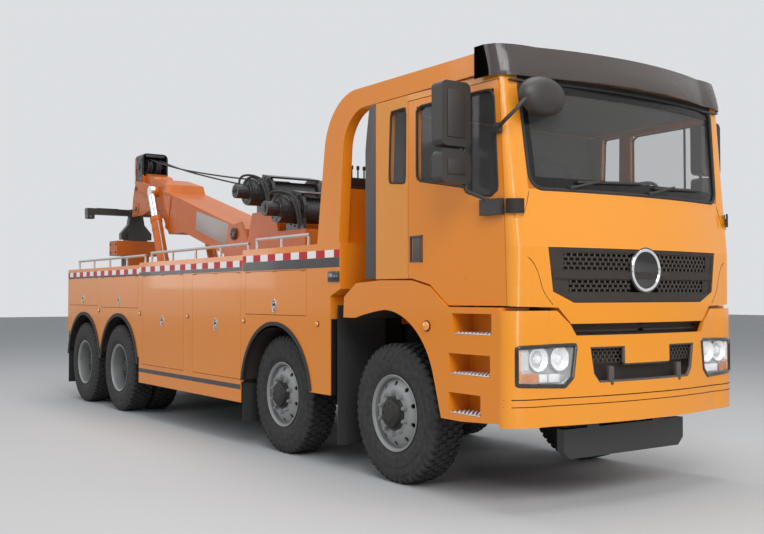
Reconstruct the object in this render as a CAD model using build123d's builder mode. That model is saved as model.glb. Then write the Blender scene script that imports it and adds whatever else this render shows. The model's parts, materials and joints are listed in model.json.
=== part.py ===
# Heavy 8x4 recovery truck with a lifting boom, two winches and a folding underlift.
# Millimetres. The front faces -Y, +Z is up, z = 0 is the ground and x = 0 the middle plane.
# Lengths along the truck are stations: distances behind the front axle.
from math import cos, hypot, radians, sin
import os

from build123d import *

os.makedirs("parts", exist_ok=True)

# Overall reach, from the front axle to the bumper's face and to the rear face of the underlift
FRONT_REACH = 1612.0
REAR_REACH = 8960.0
FRONT_AXLE_Y = (FRONT_REACH - REAR_REACH) / 2

# Running gear
TYRE_R = 560.0
TYRE_W = 315.0
TYRE_TREAD_W = 250.0
TYRE_SHOULDER = 105.0
TYRE_SIDES = 24
RIM_R = 292.0
RIM_W = 250.0
RIM_BORE = 262.0
DISC_FACE_R = 188.0
DISC_PLATE = 14.0
HUB_R = 138.0
DRUM_R = 205.0
HUB_SIDES = 16
HAND_HOLES = 10
HAND_HOLE_R = 31.0
SEAT_GAP = 0.3
STEER_WHEEL_X = 1007.0
TWIN_OUTER_X = 1083.0
TWIN_INNER_X = 743.0
KINGPIN_X = 850.0
KINGPIN_R = 25.0
PIN_GAP = 1.0
SPINDLE_R = 60.0
AXLE_TUBE_R = 70.0
AXLE_2 = 1830.0
AXLE_3 = 6070.0
AXLE_4 = 7454.0
WHEEL_Z = TYRE_R

# Chassis frame
FRAME_X = 430.0
FRAME_TOP = 1070.0
FRAME_H = 300.0
FRAME_WEB = 9.0
FRAME_FLANGE = 90.0
FRAME_FRONT = -1250.0
FRAME_REAR = 8150.0
SUBFRAME_TOP = 1230.0
DECK_PLATE = 12.0

# Cab
HALF_W = 1245.0
CAB_REAR = 112.0
CAB_ROOF = 3060.0
CAB_WALL = 45.0
TAPER = 40.0
LIP_Z = 1305.0
FRONT_BELLY = 1432.0
REAR_BELLY = 1635.0
DOOR_GAP = 6.0
GLASS = 6.0
WING_FRONT = -1366.0

# Locker body
LOCKER_IN = 480.0
SKIN = 30.0
DECK_Z = SUBFRAME_TOP
ARCH_2_R = 660.0
ARCH_REAR_R = 668.0
TRIM_T = 12.0

# Boom
BOOM_TILT = 15.5
PIVOT = (4420.0, 2260.0)
BOOM_HALF = 300.0
BOOM_EYE = 2784.0
RAM_X = 390.0
RAM_BASE = (6347.0, 1360.0)
RAM_R = 80.0
ROD_R = 60.0

# Underlift
UL_PIVOT = (8560.0, 760.0)


def side_plane(x):
    """Plane across the truck at x: local x is the station, local y is the height."""
    return Plane(origin=(x, FRONT_AXLE_Y, 0), x_dir=(0, 1, 0), z_dir=(1, 0, 0))


def front_plane(station):
    """Plane at a station, facing forward: local x is x, local y is the height."""
    return Plane(origin=(0, FRONT_AXLE_Y + station, 0), x_dir=(1, 0, 0), z_dir=(0, -1, 0))


def top_plane(z):
    """Level plane: local x is x, local y is the station."""
    return Plane(origin=(0, FRONT_AXLE_Y, z), x_dir=(1, 0, 0), z_dir=(0, 0, 1))


def block(x0, x1, y0, y1, z0, z1, mode=Mode.ADD):
    """Box between two x, two stations and two heights."""
    with Locations(((x0 + x1) / 2, FRONT_AXLE_Y + (y0 + y1) / 2, (z0 + z1) / 2)):
        Box(abs(x1 - x0), abs(y1 - y0), abs(z1 - z0), mode=mode)


def slab_x(points, x0, x1, mode=Mode.ADD):
    """Side outline of (station, height) points, from x0 to x1."""
    with BuildSketch(side_plane(x0)) as outline:
        with BuildLine():
            Polyline(*points, close=True)
        make_face()
    extrude(outline.sketch, amount=x1 - x0, mode=mode)


def slab_y(points, y0, y1, mode=Mode.ADD):
    """Front outline of (x, height) points, from station y0 back to y1."""
    with BuildSketch(front_plane(y1)) as outline:
        with BuildLine():
            Polyline(*points, close=True)
        make_face()
    extrude(outline.sketch, amount=y1 - y0, mode=mode)


def slab_z(points, z0, z1, mode=Mode.ADD):
    """Plan outline of (x, station) points, from z0 up to z1."""
    with BuildSketch(top_plane(z0)) as outline:
        with BuildLine():
            Polyline(*points, close=True)
        make_face()
    extrude(outline.sketch, amount=z1 - z0, mode=mode)


def rod(start, end, radius, mode=Mode.ADD):
    """Round bar between two (x, station, height) points."""
    a = Vector(start[0], FRONT_AXLE_Y + start[1], start[2])
    b = Vector(end[0], FRONT_AXLE_Y + end[1], end[2])
    with BuildSketch(Plane(origin=a, z_dir=b - a)) as section:
        Circle(radius)
    extrude(section.sketch, amount=(b - a).length, mode=mode)


def across(x0, x1, station, height, radius, mode=Mode.ADD):
    """Round bar along x."""
    rod((x0, station, height), (x1, station, height), radius, mode)


def facet_disc(x0, x1, station, radius, sides, mode=Mode.ADD):
    """Many-sided disc on a wheel's axis, flat on the ground, given by its inscribed radius."""
    plane = Plane(origin=(x0, FRONT_AXLE_Y + station, WHEEL_Z), x_dir=(0, 1, 0), z_dir=(1, 0, 0))
    with BuildSketch(plane) as outline:
        RegularPolygon(radius, sides, major_radius=False, rotation=180 / sides)
    extrude(outline.sketch, amount=x1 - x0, mode=mode)


def write(part, name):
    """Label a finished piece and write it to its own file."""
    part.label = name
    export_step(part, f"parts/{name}.step")


def write_pair(left_part, name):
    """Write a left-hand piece and its mirror image."""
    write(mirror(left_part, about=Plane.YZ), f"{name}_right")
    write(left_part, f"{name}_left")


def write_rows(left_part, name, rows):
    """Write the same left-hand piece, with its mirror image, at each (number, station)."""
    for number, station in rows:
        write_pair(left_part.moved(Location((0, station, 0))), f"{name}_{number}")


# Tyres: a faceted ring with bevelled shoulders, so that a tread can be dressed over it
def add_tyre(station, centre_x):
    x0, x1 = centre_x - TYRE_W / 2, centre_x + TYRE_W / 2
    with BuildPart(mode=Mode.PRIVATE) as ring:
        facet_disc(x0, x1, station, TYRE_R, TYRE_SIDES)
        bevel = (TYRE_W - TYRE_TREAD_W) / 2
        for face in (ring.faces().sort_by(Axis.X)[0], ring.faces().sort_by(Axis.X)[-1]):
            chamfer(face.edges(), length=bevel, length2=TYRE_SHOULDER, reference=face)
        facet_disc(x0, x1, station, RIM_R + SEAT_GAP, TYRE_SIDES, Mode.SUBTRACT)
    add(ring.part)


# Wheel discs: a dished plate in the rim, its flat face on the given plane
def dish(face_x, foot_x, station):
    """Solid dish from its flat face to its foot in the rim; the flat face is the narrow end."""
    low, high = min(face_x, foot_x), max(face_x, foot_x)
    with BuildPart(mode=Mode.PRIVATE) as plug:
        facet_disc(low, high, station, RIM_BORE, TYRE_SIDES)
        faces = plug.faces().sort_by(Axis.X)
        end = faces[-1] if face_x > foot_x else faces[0]
        slope = high - low - DISC_PLATE
        chamfer(end.edges(), length=slope, length2=RIM_BORE - DISC_FACE_R, reference=end)
    return plug.part


def add_rim(station, centre_x, face_x, foot_x):
    """Barrel about centre_x with its dished disc, pierced by the hand holes."""
    add_x0, add_x1 = centre_x - RIM_W / 2, centre_x + RIM_W / 2
    out = 1 if face_x > foot_x else -1
    facet_disc(add_x0, add_x1, station, RIM_R, TYRE_SIDES)
    facet_disc(add_x0, add_x1, station, RIM_BORE, TYRE_SIDES, Mode.SUBTRACT)
    add(dish(face_x, foot_x, station))
    shift = Location((-out * DISC_PLATE, 0, 0))
    add(dish(face_x, foot_x, station).moved(shift), mode=Mode.SUBTRACT)
    hole_ring = (RIM_BORE + DISC_FACE_R) / 2
    plane = Plane(origin=(min(face_x, foot_x), FRONT_AXLE_Y + station, WHEEL_Z),
                  x_dir=(0, 1, 0), z_dir=(1, 0, 0))
    with BuildSketch(plane) as holes:
        with PolarLocations(hole_ring, HAND_HOLES):
            RegularPolygon(HAND_HOLE_R, 6)
    extrude(holes.sketch, amount=abs(face_x - foot_x), mode=Mode.SUBTRACT)


STEERED = ((1, 0.0), (2, AXLE_2))
DRIVEN = ((3, AXLE_3), (4, AXLE_4))
DISC_OUT = 140.0
DISC_DEPTH = 90.0
HUB_NOSE = 198.0
KNUCKLE_FACE_X = KINGPIN_X + 67.0
RUN_GAP = 6.0

with BuildPart() as tyre:
    add_tyre(0, STEER_WHEEL_X)
write_rows(tyre.part, "tyre", STEERED)

face = STEER_WHEEL_X + DISC_OUT
with BuildPart() as rim:
    add_rim(0, STEER_WHEEL_X, face, face - DISC_DEPTH)
    facet_disc(face - DISC_DEPTH - 10, STEER_WHEEL_X + HUB_NOSE, 0, HUB_R, HUB_SIDES)
    facet_disc(KNUCKLE_FACE_X + RUN_GAP, face - DISC_DEPTH - 10, 0, DRUM_R, HUB_SIDES)
    across(KNUCKLE_FACE_X, face - 20, 0, WHEEL_Z, SPINDLE_R + SEAT_GAP, Mode.SUBTRACT)
write_rows(rim.part, "rim", STEERED)

# Knuckle: yoke about the beam's eye, kingpin, brake backing plate and spindle
with BuildPart() as knuckle:
    for low in (WHEEL_Z - 106, WHEEL_Z + 66):
        block(KINGPIN_X - 45, KNUCKLE_FACE_X, -45, 45, low, low + 40)
    block(KNUCKLE_FACE_X - 22, KNUCKLE_FACE_X, -60, 60, WHEEL_Z - 106, WHEEL_Z + 106)
    facet_disc(KNUCKLE_FACE_X - 8, KNUCKLE_FACE_X, 0, DRUM_R - 12, HUB_SIDES)
    across(KNUCKLE_FACE_X, face - 30, 0, WHEEL_Z, SPINDLE_R)
    rod((KINGPIN_X, 0, WHEEL_Z - 106), (KINGPIN_X, 0, WHEEL_Z + 106), KINGPIN_R)
write_rows(knuckle.part, "knuckle", STEERED)

TWIN_FACE_X = (TWIN_OUTER_X + TWIN_INNER_X) / 2
TWIN_OUT_FOOT = TWIN_OUTER_X - RIM_W / 2 + 30
TWIN_IN_FOOT = TWIN_INNER_X + RIM_W / 2 - 30
TUBE_END_X = TWIN_FACE_X - 15
TWIN_HUB_NOSE = 1150.0

with BuildPart() as tyre:
    add_tyre(0, TWIN_OUTER_X)
    add_tyre(0, TWIN_INNER_X)
write_rows(tyre.part, "tyre", DRIVEN)

with BuildPart() as outer_rim:
    add_rim(0, TWIN_OUTER_X, TWIN_FACE_X, TWIN_OUT_FOOT)
with BuildPart() as inner_rim:
    add_rim(0, TWIN_INNER_X, TWIN_FACE_X, TWIN_IN_FOOT)
with BuildPart() as rim:
    add(outer_rim.part)
    add(inner_rim.part)
    facet_disc(TWIN_IN_FOOT - 20, TWIN_HUB_NOSE, 0, HUB_R, HUB_SIDES)
    facet_disc(TWIN_INNER_X - 90, TWIN_IN_FOOT - 20, 0, DRUM_R, HUB_SIDES)
    across(TWIN_INNER_X - 90, TUBE_END_X + 10, 0, WHEEL_Z, AXLE_TUBE_R + SEAT_GAP, Mode.SUBTRACT)
write_rows(rim.part, "rim", DRIVEN)


# Axles: dropped front beams on leaf springs, driven rear housings on a trunnion bogie
BEAM_TOP = 530.0
SPRING_X = (384.0, 466.0)
BOGIE_SPRING_X = (452.0, 542.0)
BOGIE_MID = (AXLE_3 + AXLE_4) / 2
SPRING_HALF = 760.0
FRAME_LOW = FRAME_TOP - FRAME_H
PROP_Z = 850.0
PINION_Z = WHEEL_Z + 100
LINK_Z = WHEEL_Z + 140
PINION_Y = 235.0


def leaf_spring(station, x0, x1, half, end_z, mid_z, end_t, mid_t):
    """Arched spring pack between two x, its ends and middle at the given heights."""
    with BuildSketch(side_plane(x0)) as pack:
        with BuildLine():
            ThreePointArc((station - half, end_z), (station, mid_z), (station + half, end_z))
            Line((station + half, end_z), (station + half, end_z + end_t))
            ThreePointArc((station + half, end_z + end_t), (station, mid_z + mid_t),
                          (station - half, end_z + end_t))
            Line((station - half, end_z + end_t), (station - half, end_z))
        make_face()
    extrude(pack.sketch, amount=x1 - x0)


with BuildPart() as axles:
    for number, station in STEERED:
        eye = KINGPIN_X - 35
        slab_y(((-eye, 518), (-650, 425), (650, 425), (eye, 518), (eye, 612), (690, BEAM_TOP),
                (-690, BEAM_TOP), (-eye, 612)), station - 50, station + 50)
        for sign in (-1, 1):
            rod((sign * KINGPIN_X, station, WHEEL_Z - 60), (sign * KINGPIN_X, station, WHEEL_Z + 60), 40)
            rod((sign * KINGPIN_X, station, WHEEL_Z - 60), (sign * KINGPIN_X, station, WHEEL_Z + 60),
                KINGPIN_R + PIN_GAP, Mode.SUBTRACT)
            x0, x1 = sorted((sign * SPRING_X[0], sign * SPRING_X[1]))
            leaf_spring(station, x0, x1, SPRING_HALF, 690, BEAM_TOP, 30, 90)
            for end in (-1, 1):
                y = station + end * (SPRING_HALF + 15)
                block(x0, x1, y - 45, y + 45, 680, FRAME_LOW)
    for number, station in DRIVEN:
        across(-TUBE_END_X, TUBE_END_X, station, WHEEL_Z, AXLE_TUBE_R)
        facet_disc(-150, 150, station, 190, HUB_SIDES)
    rod((0, AXLE_3 - PINION_Y, PINION_Z), (0, AXLE_3 - 100, PINION_Z), 70)
    rod((0, AXLE_3 + 100, LINK_Z), (0, AXLE_3 + PINION_Y, LINK_Z), 52)
    rod((0, AXLE_4 - PINION_Y, LINK_Z), (0, AXLE_4 - 100, LINK_Z), 52)
    for sign in (-1, 1):
        x0, x1 = sorted((sign * BOGIE_SPRING_X[0], sign * BOGIE_SPRING_X[1]))
        leaf_spring(BOGIE_MID, x0, x1, (AXLE_4 - AXLE_3) / 2 + 60, 625, 700, 30, 90)
        foot0, foot1 = sorted((sign * (FRAME_X - FRAME_FLANGE), sign * BOGIE_SPRING_X[1]))
        block(foot0, foot1, BOGIE_MID - 110, BOGIE_MID + 110, 560, 720)
        block(foot0, foot1, BOGIE_MID - 70, BOGIE_MID + 70, 720, FRAME_LOW)
    across(-BOGIE_SPRING_X[1], BOGIE_SPRING_X[1], BOGIE_MID, 595, 50)
write(axles.part, "axles")


# Chassis: two channel rails, cross members, wrecker subframe, front underrun guard
BEARING_Y = 3500.0
CROSS_STATIONS = (-1200.0, 1330.0, BEARING_Y, 5200.0, 6762.0, 8100.0)
CROSS_LOW = 930.0
CAB_MOUNTS = ((-1160.0, -1060.0, FRONT_BELLY), (-60.0, 40.0, REAR_BELLY))
MOUNT_IN = 350.0
GUARD = dict(x=660.0, y0=-1400.0, y1=-1330.0, z0=330.0, z1=545.0)

with BuildPart() as chassis:
    inner = FRAME_X - FRAME_FLANGE
    for sign in (-1, 1):
        x0, x1 = sorted((sign * inner, sign * FRAME_X))
        block(x0, x1, FRAME_FRONT, FRAME_REAR, FRAME_LOW, FRAME_TOP)
        p0, p1 = sorted((sign * inner, sign * (FRAME_X - FRAME_WEB)))
        block(p0, p1, FRAME_FRONT, FRAME_REAR, FRAME_LOW + FRAME_WEB, FRAME_TOP - FRAME_WEB,
              Mode.SUBTRACT)
        block(x0, x1, 760, FRAME_REAR, FRAME_TOP, SUBFRAME_TOP)
        for y0, y1, floor in CAB_MOUNTS:
            block(*sorted((sign * MOUNT_IN, sign * FRAME_X)), y0, y1, FRAME_TOP, floor - SEAT_GAP)
        block(*sorted((sign * 300, sign * 420)), FRAME_FRONT - 150, FRAME_FRONT, 545, FRAME_TOP - 60)
    for y in CROSS_STATIONS:
        block(-FRAME_X + FRAME_WEB, FRAME_X - FRAME_WEB, y - 35, y + 35, CROSS_LOW, FRAME_TOP - 60)
    block(-90, 90, BEARING_Y - 35, BEARING_Y + 35, PROP_Z - 80, CROSS_LOW)
    g = GUARD
    slab_y(((-g["x"], g["z1"]), (-g["x"], g["z0"] + 60), (-g["x"] + 60, g["z0"]),
            (g["x"] - 60, g["z0"]), (g["x"], g["z0"] + 60), (g["x"], g["z1"])), g["y0"], g["y1"])
    block(-FRAME_X + FRAME_WEB, FRAME_X - FRAME_WEB, BEARING_Y - 80, BEARING_Y + 80, FRAME_TOP, SUBFRAME_TOP)
write(chassis.part, "chassis")


RADIATOR = (FRAME_X - FRAME_FLANGE - SEAT_GAP, -1120.0, -1010.0, 800.0, 1390.0)
SHAFT_SLANT = 5.3

# Powertrain: one plain engine block, gearbox and the shafts to the driven axles
with BuildPart() as powertrain:
    slab_y(((-330, 1390), (-330, 760), (-200, 640), (200, 640), (330, 760), (330, 1390)), -880, 280)
    slab_y(((-210, 1040), (-250, 860), (-160, 700), (160, 700), (250, 860), (210, 1040)), 280, 1240)
    rod((0, 1240, PROP_Z), (0, BEARING_Y - 35 - SEAT_GAP, PROP_Z), 60)
    rod((0, BEARING_Y + 35 + SHAFT_SLANT, PROP_Z), (0, AXLE_3 - PINION_Y - SHAFT_SLANT, PINION_Z), 60)
    rod((0, AXLE_3 + PINION_Y + SEAT_GAP, LINK_Z), (0, AXLE_4 - PINION_Y - SEAT_GAP, LINK_Z), 40)
    block(-RADIATOR[0], RADIATOR[0], *RADIATOR[1:])
write(powertrain.part, "powertrain")


# Cab in plan: sides that draw in towards the front, a bowed nose and a rounded corner between them
CAB_SECTIONS = (  # height, station of the nose, setback at the corner, x where the corner starts, its depth
    (LIP_Z, -1590.0, 108.0, 1065.0, 82.0),
    (1840.0, -1600.0, 112.0, 1065.0, 88.0),
    (2230.0, -1565.0, 115.0, 1050.0, 74.0),
    (CAB_ROOF, -1480.0, 110.0, 1020.0, 47.0),
)
DOOR_REAR = -330.0
TAPER_END = -1400.0
MIN_CORNER = 10.0


def side_x(station):
    """Half width of the cab at a station."""
    share = (DOOR_REAR - station) / (DOOR_REAR - TAPER_END)
    return HALF_W - TAPER * min(max(share, 0), 1)


def side_strip(y0, y1, in_by, out_by):
    """Plan outline of a strip that follows the cab's side between two offsets from it."""
    return ((side_x(y0) + in_by, y0), (side_x(y1) + in_by, y1), (side_x(y1) + out_by, y1), (side_x(y0) + out_by, y0))


def front_band(nose, setback, start_x, depth, half, taper, inset, rear):
    """Closed plan outline with a bowed front and elliptical front corners, drawn in by inset."""
    half, rear, nose = half - inset, rear - inset, nose + inset
    front_half = half - taper
    depth = max(depth - inset, MIN_CORNER)
    width = front_half - start_x
    corner_y = nose + setback
    side_y = corner_y + depth
    if taper:
        Polyline((-front_half, side_y), (-half, DOOR_REAR), (-half, rear), (half, rear), (half, DOOR_REAR),
                 (front_half, side_y))
    else:
        Polyline((-half, side_y), (-half, rear), (half, rear), (half, side_y))
    EllipticalCenterArc((start_x, side_y), width, depth, 270, arc_size=90)
    ThreePointArc((start_x, corner_y), (0, nose), (-start_x, corner_y))
    EllipticalCenterArc((-start_x, side_y), width, depth, 180, arc_size=90)


def cab_loft(inset, low, high):
    """Cab body between two heights, drawn in by inset from the outer skin."""
    heights = [row[0] for row in CAB_SECTIONS]
    rows = [row for row in CAB_SECTIONS if low <= row[0] <= high]
    for z in (low, high):
        if z not in heights:
            for a, b in zip(CAB_SECTIONS, CAB_SECTIONS[1:]):
                if a[0] < z < b[0]:
                    share = (z - a[0]) / (b[0] - a[0])
                    rows.append((z,) + tuple(p + share * (q - p) for p, q in zip(a[1:], b[1:])))
    with BuildPart(mode=Mode.PRIVATE) as body:
        sketches = []
        for z, nose, setback, start_x, depth in sorted(rows):
            with BuildSketch(top_plane(z), mode=Mode.PRIVATE) as outline:
                with BuildLine():
                    front_band(nose, setback, start_x, depth, HALF_W, TAPER, inset, CAB_REAR)
                make_face()
            sketches.append(outline.sketch)
        loft(sketches, ruled=True)
    return body.part


BELLY = ((CAB_REAR + 60, REAR_BELLY), (-372.0, REAR_BELLY), (-588.0, REAR_BELLY - 49), (-791.0, FRONT_BELLY),
         (-1465.0, FRONT_BELLY))
FLOOR_T = 40.0
HINGES = (1560.0, 2040.0)
HINGE_T = 30.0
HINGE_H = 90.0
DOOR_TOP = 3006.0
DOOR_FRONT = ((-1326.0, DOOR_TOP), (-1376.0, 2230.0), (TAPER_END - 1, 1432.0))


def belly_cut(raise_by, front_y):
    """What lies below the cab's floor line, for cutting the body and its inside."""
    low = 1200.0
    points = [(y, z + raise_by) for y, z in BELLY]
    return [(BELLY[0][0], low)] + points + [(front_y, BELLY[-1][1] + raise_by), (front_y, low)]


def door_outline(grow):
    """Side outline of the cab door, grown by a gap on its rear, top and front edges."""
    (y1, z1), (y2, z2), (y3, z3) = DOOR_FRONT
    bottom = [(y, z - grow) for y, z in BELLY[1:4]]
    return ([(DOOR_REAR + grow, BELLY[1][1] + 1 - grow)] + bottom
            + [(y3 - grow, z3 - grow), (y2 - grow, z2), (y1 - grow, z1 + grow), (DOOR_REAR + grow, z1 + grow)])


QUARTER_WINDOW = ((-95.0, 2962.0), (-300.0, 2967.0), (-290.0, 2376.0), (-70.0, 2399.0))
DOOR_WINDOW = ((-430.0, 2950.0), (-430.0, 2385.0), (-963.0, 2288.0), (-1018.0, 2235.0),
               (-1250.0, 2200.0), (-1322.0, 2240.0), (-1282.0, 2950.0))
SCREEN = ((-1066.0, 3010.0), (-1030.0, 2245.0), (1030.0, 2245.0), (1066.0, 3010.0))
GRILLE = ((-921.0, 1840.0), (-880.0, 1530.0), (-700.0, 1452.0), (700.0, 1452.0), (880.0, 1530.0), (921.0, 1840.0))


def inset_outline(points, gap):
    """The same outline drawn in or out by a gap, as a sketch on the side plane."""
    with BuildSketch(Plane.XY, mode=Mode.PRIVATE) as flat:
        with BuildLine():
            Polyline(*points, close=True)
        make_face()
    ring = flat.sketch.faces()[0].outer_wire().offset_2d(-gap, kind=Kind.INTERSECTION)
    return [(v.X, v.Y) for v in ring.vertices()]


with BuildPart() as cab_shell:
    add(cab_loft(0, LIP_Z, CAB_ROOF))
    slab_x(belly_cut(0, TAPER_END - 26), -HALF_W - 10, HALF_W + 10, Mode.SUBTRACT)
    for sign in (-1, 1):
        slab_y(((sign * 625, 1200), (sign * 835, 1420), (sign * 1300, 1432), (sign * 1300, 1200)),
               -1700, -1400, Mode.SUBTRACT)
    with BuildPart(mode=Mode.PRIVATE) as inside:
        add(cab_loft(CAB_WALL, LIP_Z + FLOOR_T, CAB_ROOF - CAB_WALL))
        slab_x(belly_cut(FLOOR_T, -1700), -HALF_W - 10, HALF_W + 10, Mode.SUBTRACT)
    add(inside.part, mode=Mode.SUBTRACT)
    for sign in (-1, 1):
        x0, x1 = sorted((sign * (HALF_W - TAPER - CAB_WALL - 5), sign * (HALF_W + 10)))
        slab_x(door_outline(DOOR_GAP), x0, x1, Mode.SUBTRACT)
        slab_x(QUARTER_WINDOW, x0, x1, Mode.SUBTRACT)
        for z in HINGES:
            face = HALF_W - TAPER - CAB_WALL
            foot0, foot1 = sorted((sign * (face - HINGE_T), sign * (face - SEAT_GAP)))
            block(foot0, foot1, DOOR_FRONT[2][0] - 55, DOOR_FRONT[2][0] + 60, z, z + HINGE_H)
            foot0, foot1 = sorted((sign * (face - HINGE_T), sign * (face + 6)))
            block(foot0, foot1, DOOR_FRONT[2][0] - 55, DOOR_FRONT[2][0] - DOOR_GAP - 10, z, z + HINGE_H)
    slab_y(SCREEN, -1700, -1250, Mode.SUBTRACT)
    slab_y(GRILLE, -1700, -1400, Mode.SUBTRACT)
write(cab_shell.part, "cab_shell")


# Glass: windscreen and quarter windows, held in their openings
with BuildPart() as cab_glass:
    add(cab_loft(12, 2200, CAB_ROOF - 20))
    add(cab_loft(12 + GLASS, 2200, CAB_ROOF - 20), mode=Mode.SUBTRACT)
    slab_y(inset_outline(SCREEN, SEAT_GAP), -1700, -1300, Mode.INTERSECT)
    for sign in (-1, 1):
        x0, x1 = sorted((sign * (HALF_W - 22), sign * (HALF_W - 22 + GLASS)))
        slab_x(inset_outline(QUARTER_WINDOW, SEAT_GAP), x0, x1)
write(cab_glass.part, "cab_glass")


# Cab interior: two seats, dash and the driver's wheel on the left
FRONT_FLOOR = BELLY[-1][1] + FLOOR_T
REAR_FLOOR = BELLY[0][1] + FLOOR_T
SEAT_X = 600.0
SEAT_HALF = 240.0
DASH_HALF = 1000.0

with BuildPart() as cab_interior:
    for sign in (-1, 1):
        mid = sign * SEAT_X
        block(mid - 150, mid + 150, -330, -130, REAR_FLOOR + SEAT_GAP, 1960)
        slab_x(((-640, 1960), (-100, 1960), (20, 2720), (-70, 2760), (-190, 2080), (-620, 2090)),
               mid - SEAT_HALF, mid + SEAT_HALF)
    slab_x(((-1180, FRONT_FLOOR + SEAT_GAP), (-1100, 1880), (-1060, 2110), (-1160, 2200), (-1400, 2180),
            (-1390, 1900), (-1380, FRONT_FLOOR + SEAT_GAP)), -DASH_HALF, DASH_HALF)
    tilt = Plane(origin=(SEAT_X, FRONT_AXLE_Y - 960, 2290), x_dir=(1, 0, 0), z_dir=(0, 0.5, 0.87))
    with BuildSketch(tilt) as wheel:
        RegularPolygon(235, 20)
        RegularPolygon(205, 20, mode=Mode.SUBTRACT)
        Rectangle(420, 40)
        RegularPolygon(60, 8)
    extrude(wheel.sketch, amount=24)
    rod((SEAT_X, -1110, 2030), (SEAT_X, -958, 2292), 32)
write(cab_interior.part, "cab_interior")


# Cab doors: panel with its window cut, a recessed handle bay and the pane
HANDLE = (-500.0, -345.0, 1762.0, 1957.0)
HANDLE_DEEP = 25.0
DOOR_IN = HALF_W - TAPER - CAB_WALL - 1
PANE_IN = 24.0

with BuildPart() as cab_door:
    slab_x(door_outline(0), DOOR_IN, HALF_W)
    slab_z(side_strip(DOOR_FRONT[2][0], DOOR_REAR, -CAB_WALL, 0), BELLY[3][1] - 1, DOOR_TOP + 1, Mode.INTERSECT)
    slab_x(DOOR_WINDOW, DOOR_IN, HALF_W, Mode.SUBTRACT)
    slab_z(side_strip(HANDLE[0], HANDLE[1], -HANDLE_DEEP, 10), HANDLE[2], HANDLE[3], Mode.SUBTRACT)
    slab_z(side_strip(HANDLE[0] + 25, HANDLE[1] - 25, -14, -4), HANDLE[2] - 1, HANDLE[3] + 1)
write_pair(cab_door.part, "cab_door")

with BuildPart() as door_glass:
    slab_x(inset_outline(DOOR_WINDOW, SEAT_GAP), DOOR_IN, HALF_W)
    slab_z(side_strip(DOOR_FRONT[2][0], DOOR_REAR, -PANE_IN, GLASS - PANE_IN), DOOR_WINDOW[4][1] - 1, DOOR_TOP,
           Mode.INTERSECT)
write_pair(door_glass.part, "door_glass")

# Mirrors: tall and wide-angle housings on a bent arm from a foot on the door
MIRROR_X = (HALF_W + 45, HALF_W + 305)
MIRROR_Y = (-1130.0, -1015.0)
ARM_X = HALF_W + 75
ARM_R = 14.0
MIRROR_SPANS = ((2285.0, 2515.0), (2545.0, 3000.0))
FOOT = (-1386.0, -1180.0, 2062.0, 2172.0)

with BuildPart() as mirror_unit:
    for z0, z1 in MIRROR_SPANS:
        block(*MIRROR_X, *MIRROR_Y, z0, z1)
    fillet(mirror_unit.edges().filter_by(Axis.Y), 45)
    slab_z(side_strip(FOOT[0], FOOT[1], SEAT_GAP, 45), FOOT[2], FOOT[3])
    rod((side_x(-1250) + 26, -1250, 2168), (ARM_X, -1110, 2240), ARM_R)
    rod((ARM_X, -1110, 2240), (ARM_X, -1072, 2950), ARM_R)
write_pair(mirror_unit.part, "mirror")


# Black trim on the cab: grille, smoked visor, roof and rear strips, far half of the mirror foot
GRILLE_T = 30.0
GRILLE_ROWS = (1560.0, 1735.0)
GRILLE_PITCH = 128.0
GRILLE_HOLE = 50.0
EMBLEM = (1690.0, 168.0)
VISOR = ((CAB_ROOF - 27, -1585.0, 150.0), (CAB_ROOF + 208, -1500.0, 120.0))
VISOR_CORNER = (900.0, 150.0)
VISOR_T = 12.0
VISOR_HALF = HALF_W + SEAT_GAP + VISOR_T
VISOR_REAR = -1130.0
STRIP_T = 10.0


def visor_shell(inset):
    """Solid whose bowed face is the visor's, drawn in by inset."""
    sketches = []
    start_x, depth = VISOR_CORNER
    for z, nose, setback in VISOR:
        with BuildSketch(top_plane(z), mode=Mode.PRIVATE) as outline:
            with BuildLine():
                front_band(nose, setback, start_x, depth, VISOR_HALF, 0, inset, VISOR_REAR + 2 * inset)
            make_face()
        sketches.append(outline.sketch)
    with BuildPart(mode=Mode.PRIVATE) as body:
        loft(sketches, ruled=True)
    return body.part


with BuildPart() as cab_trim:
    add(cab_loft(4, LIP_Z, 1900))
    add(cab_loft(4 + GRILLE_T, LIP_Z, 1900), mode=Mode.SUBTRACT)
    slab_y(inset_outline(GRILLE, SEAT_GAP), -1700, -1400, Mode.INTERSECT)
    with BuildSketch(front_plane(-1400)) as mesh:
        for z, count in zip(GRILLE_ROWS, (12, 13)):
            with Locations((0, z)):
                with GridLocations(GRILLE_PITCH, 1, count, 1):
                    RegularPolygon(GRILLE_HOLE, 6)
        with Locations((0, EMBLEM[0])):
            Circle(EMBLEM[1] + 20, mode=Mode.SUBTRACT)
    extrude(mesh.sketch, amount=300, mode=Mode.SUBTRACT)
    add(visor_shell(0))
    add(visor_shell(VISOR_T), mode=Mode.SUBTRACT)
    for sign in (-1, 1):
        x0, x1 = sorted((sign * (HALF_W - 35), sign * HALF_W))
        slab_x(((CAB_REAR + SEAT_GAP, 1637), (271, 1637), (271, CAB_ROOF - 360), (215, CAB_ROOF - 8),
                (CAB_REAR + SEAT_GAP, CAB_ROOF - 8)),
               x0, x1)
write(cab_trim.part, "cab_trim")


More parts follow.
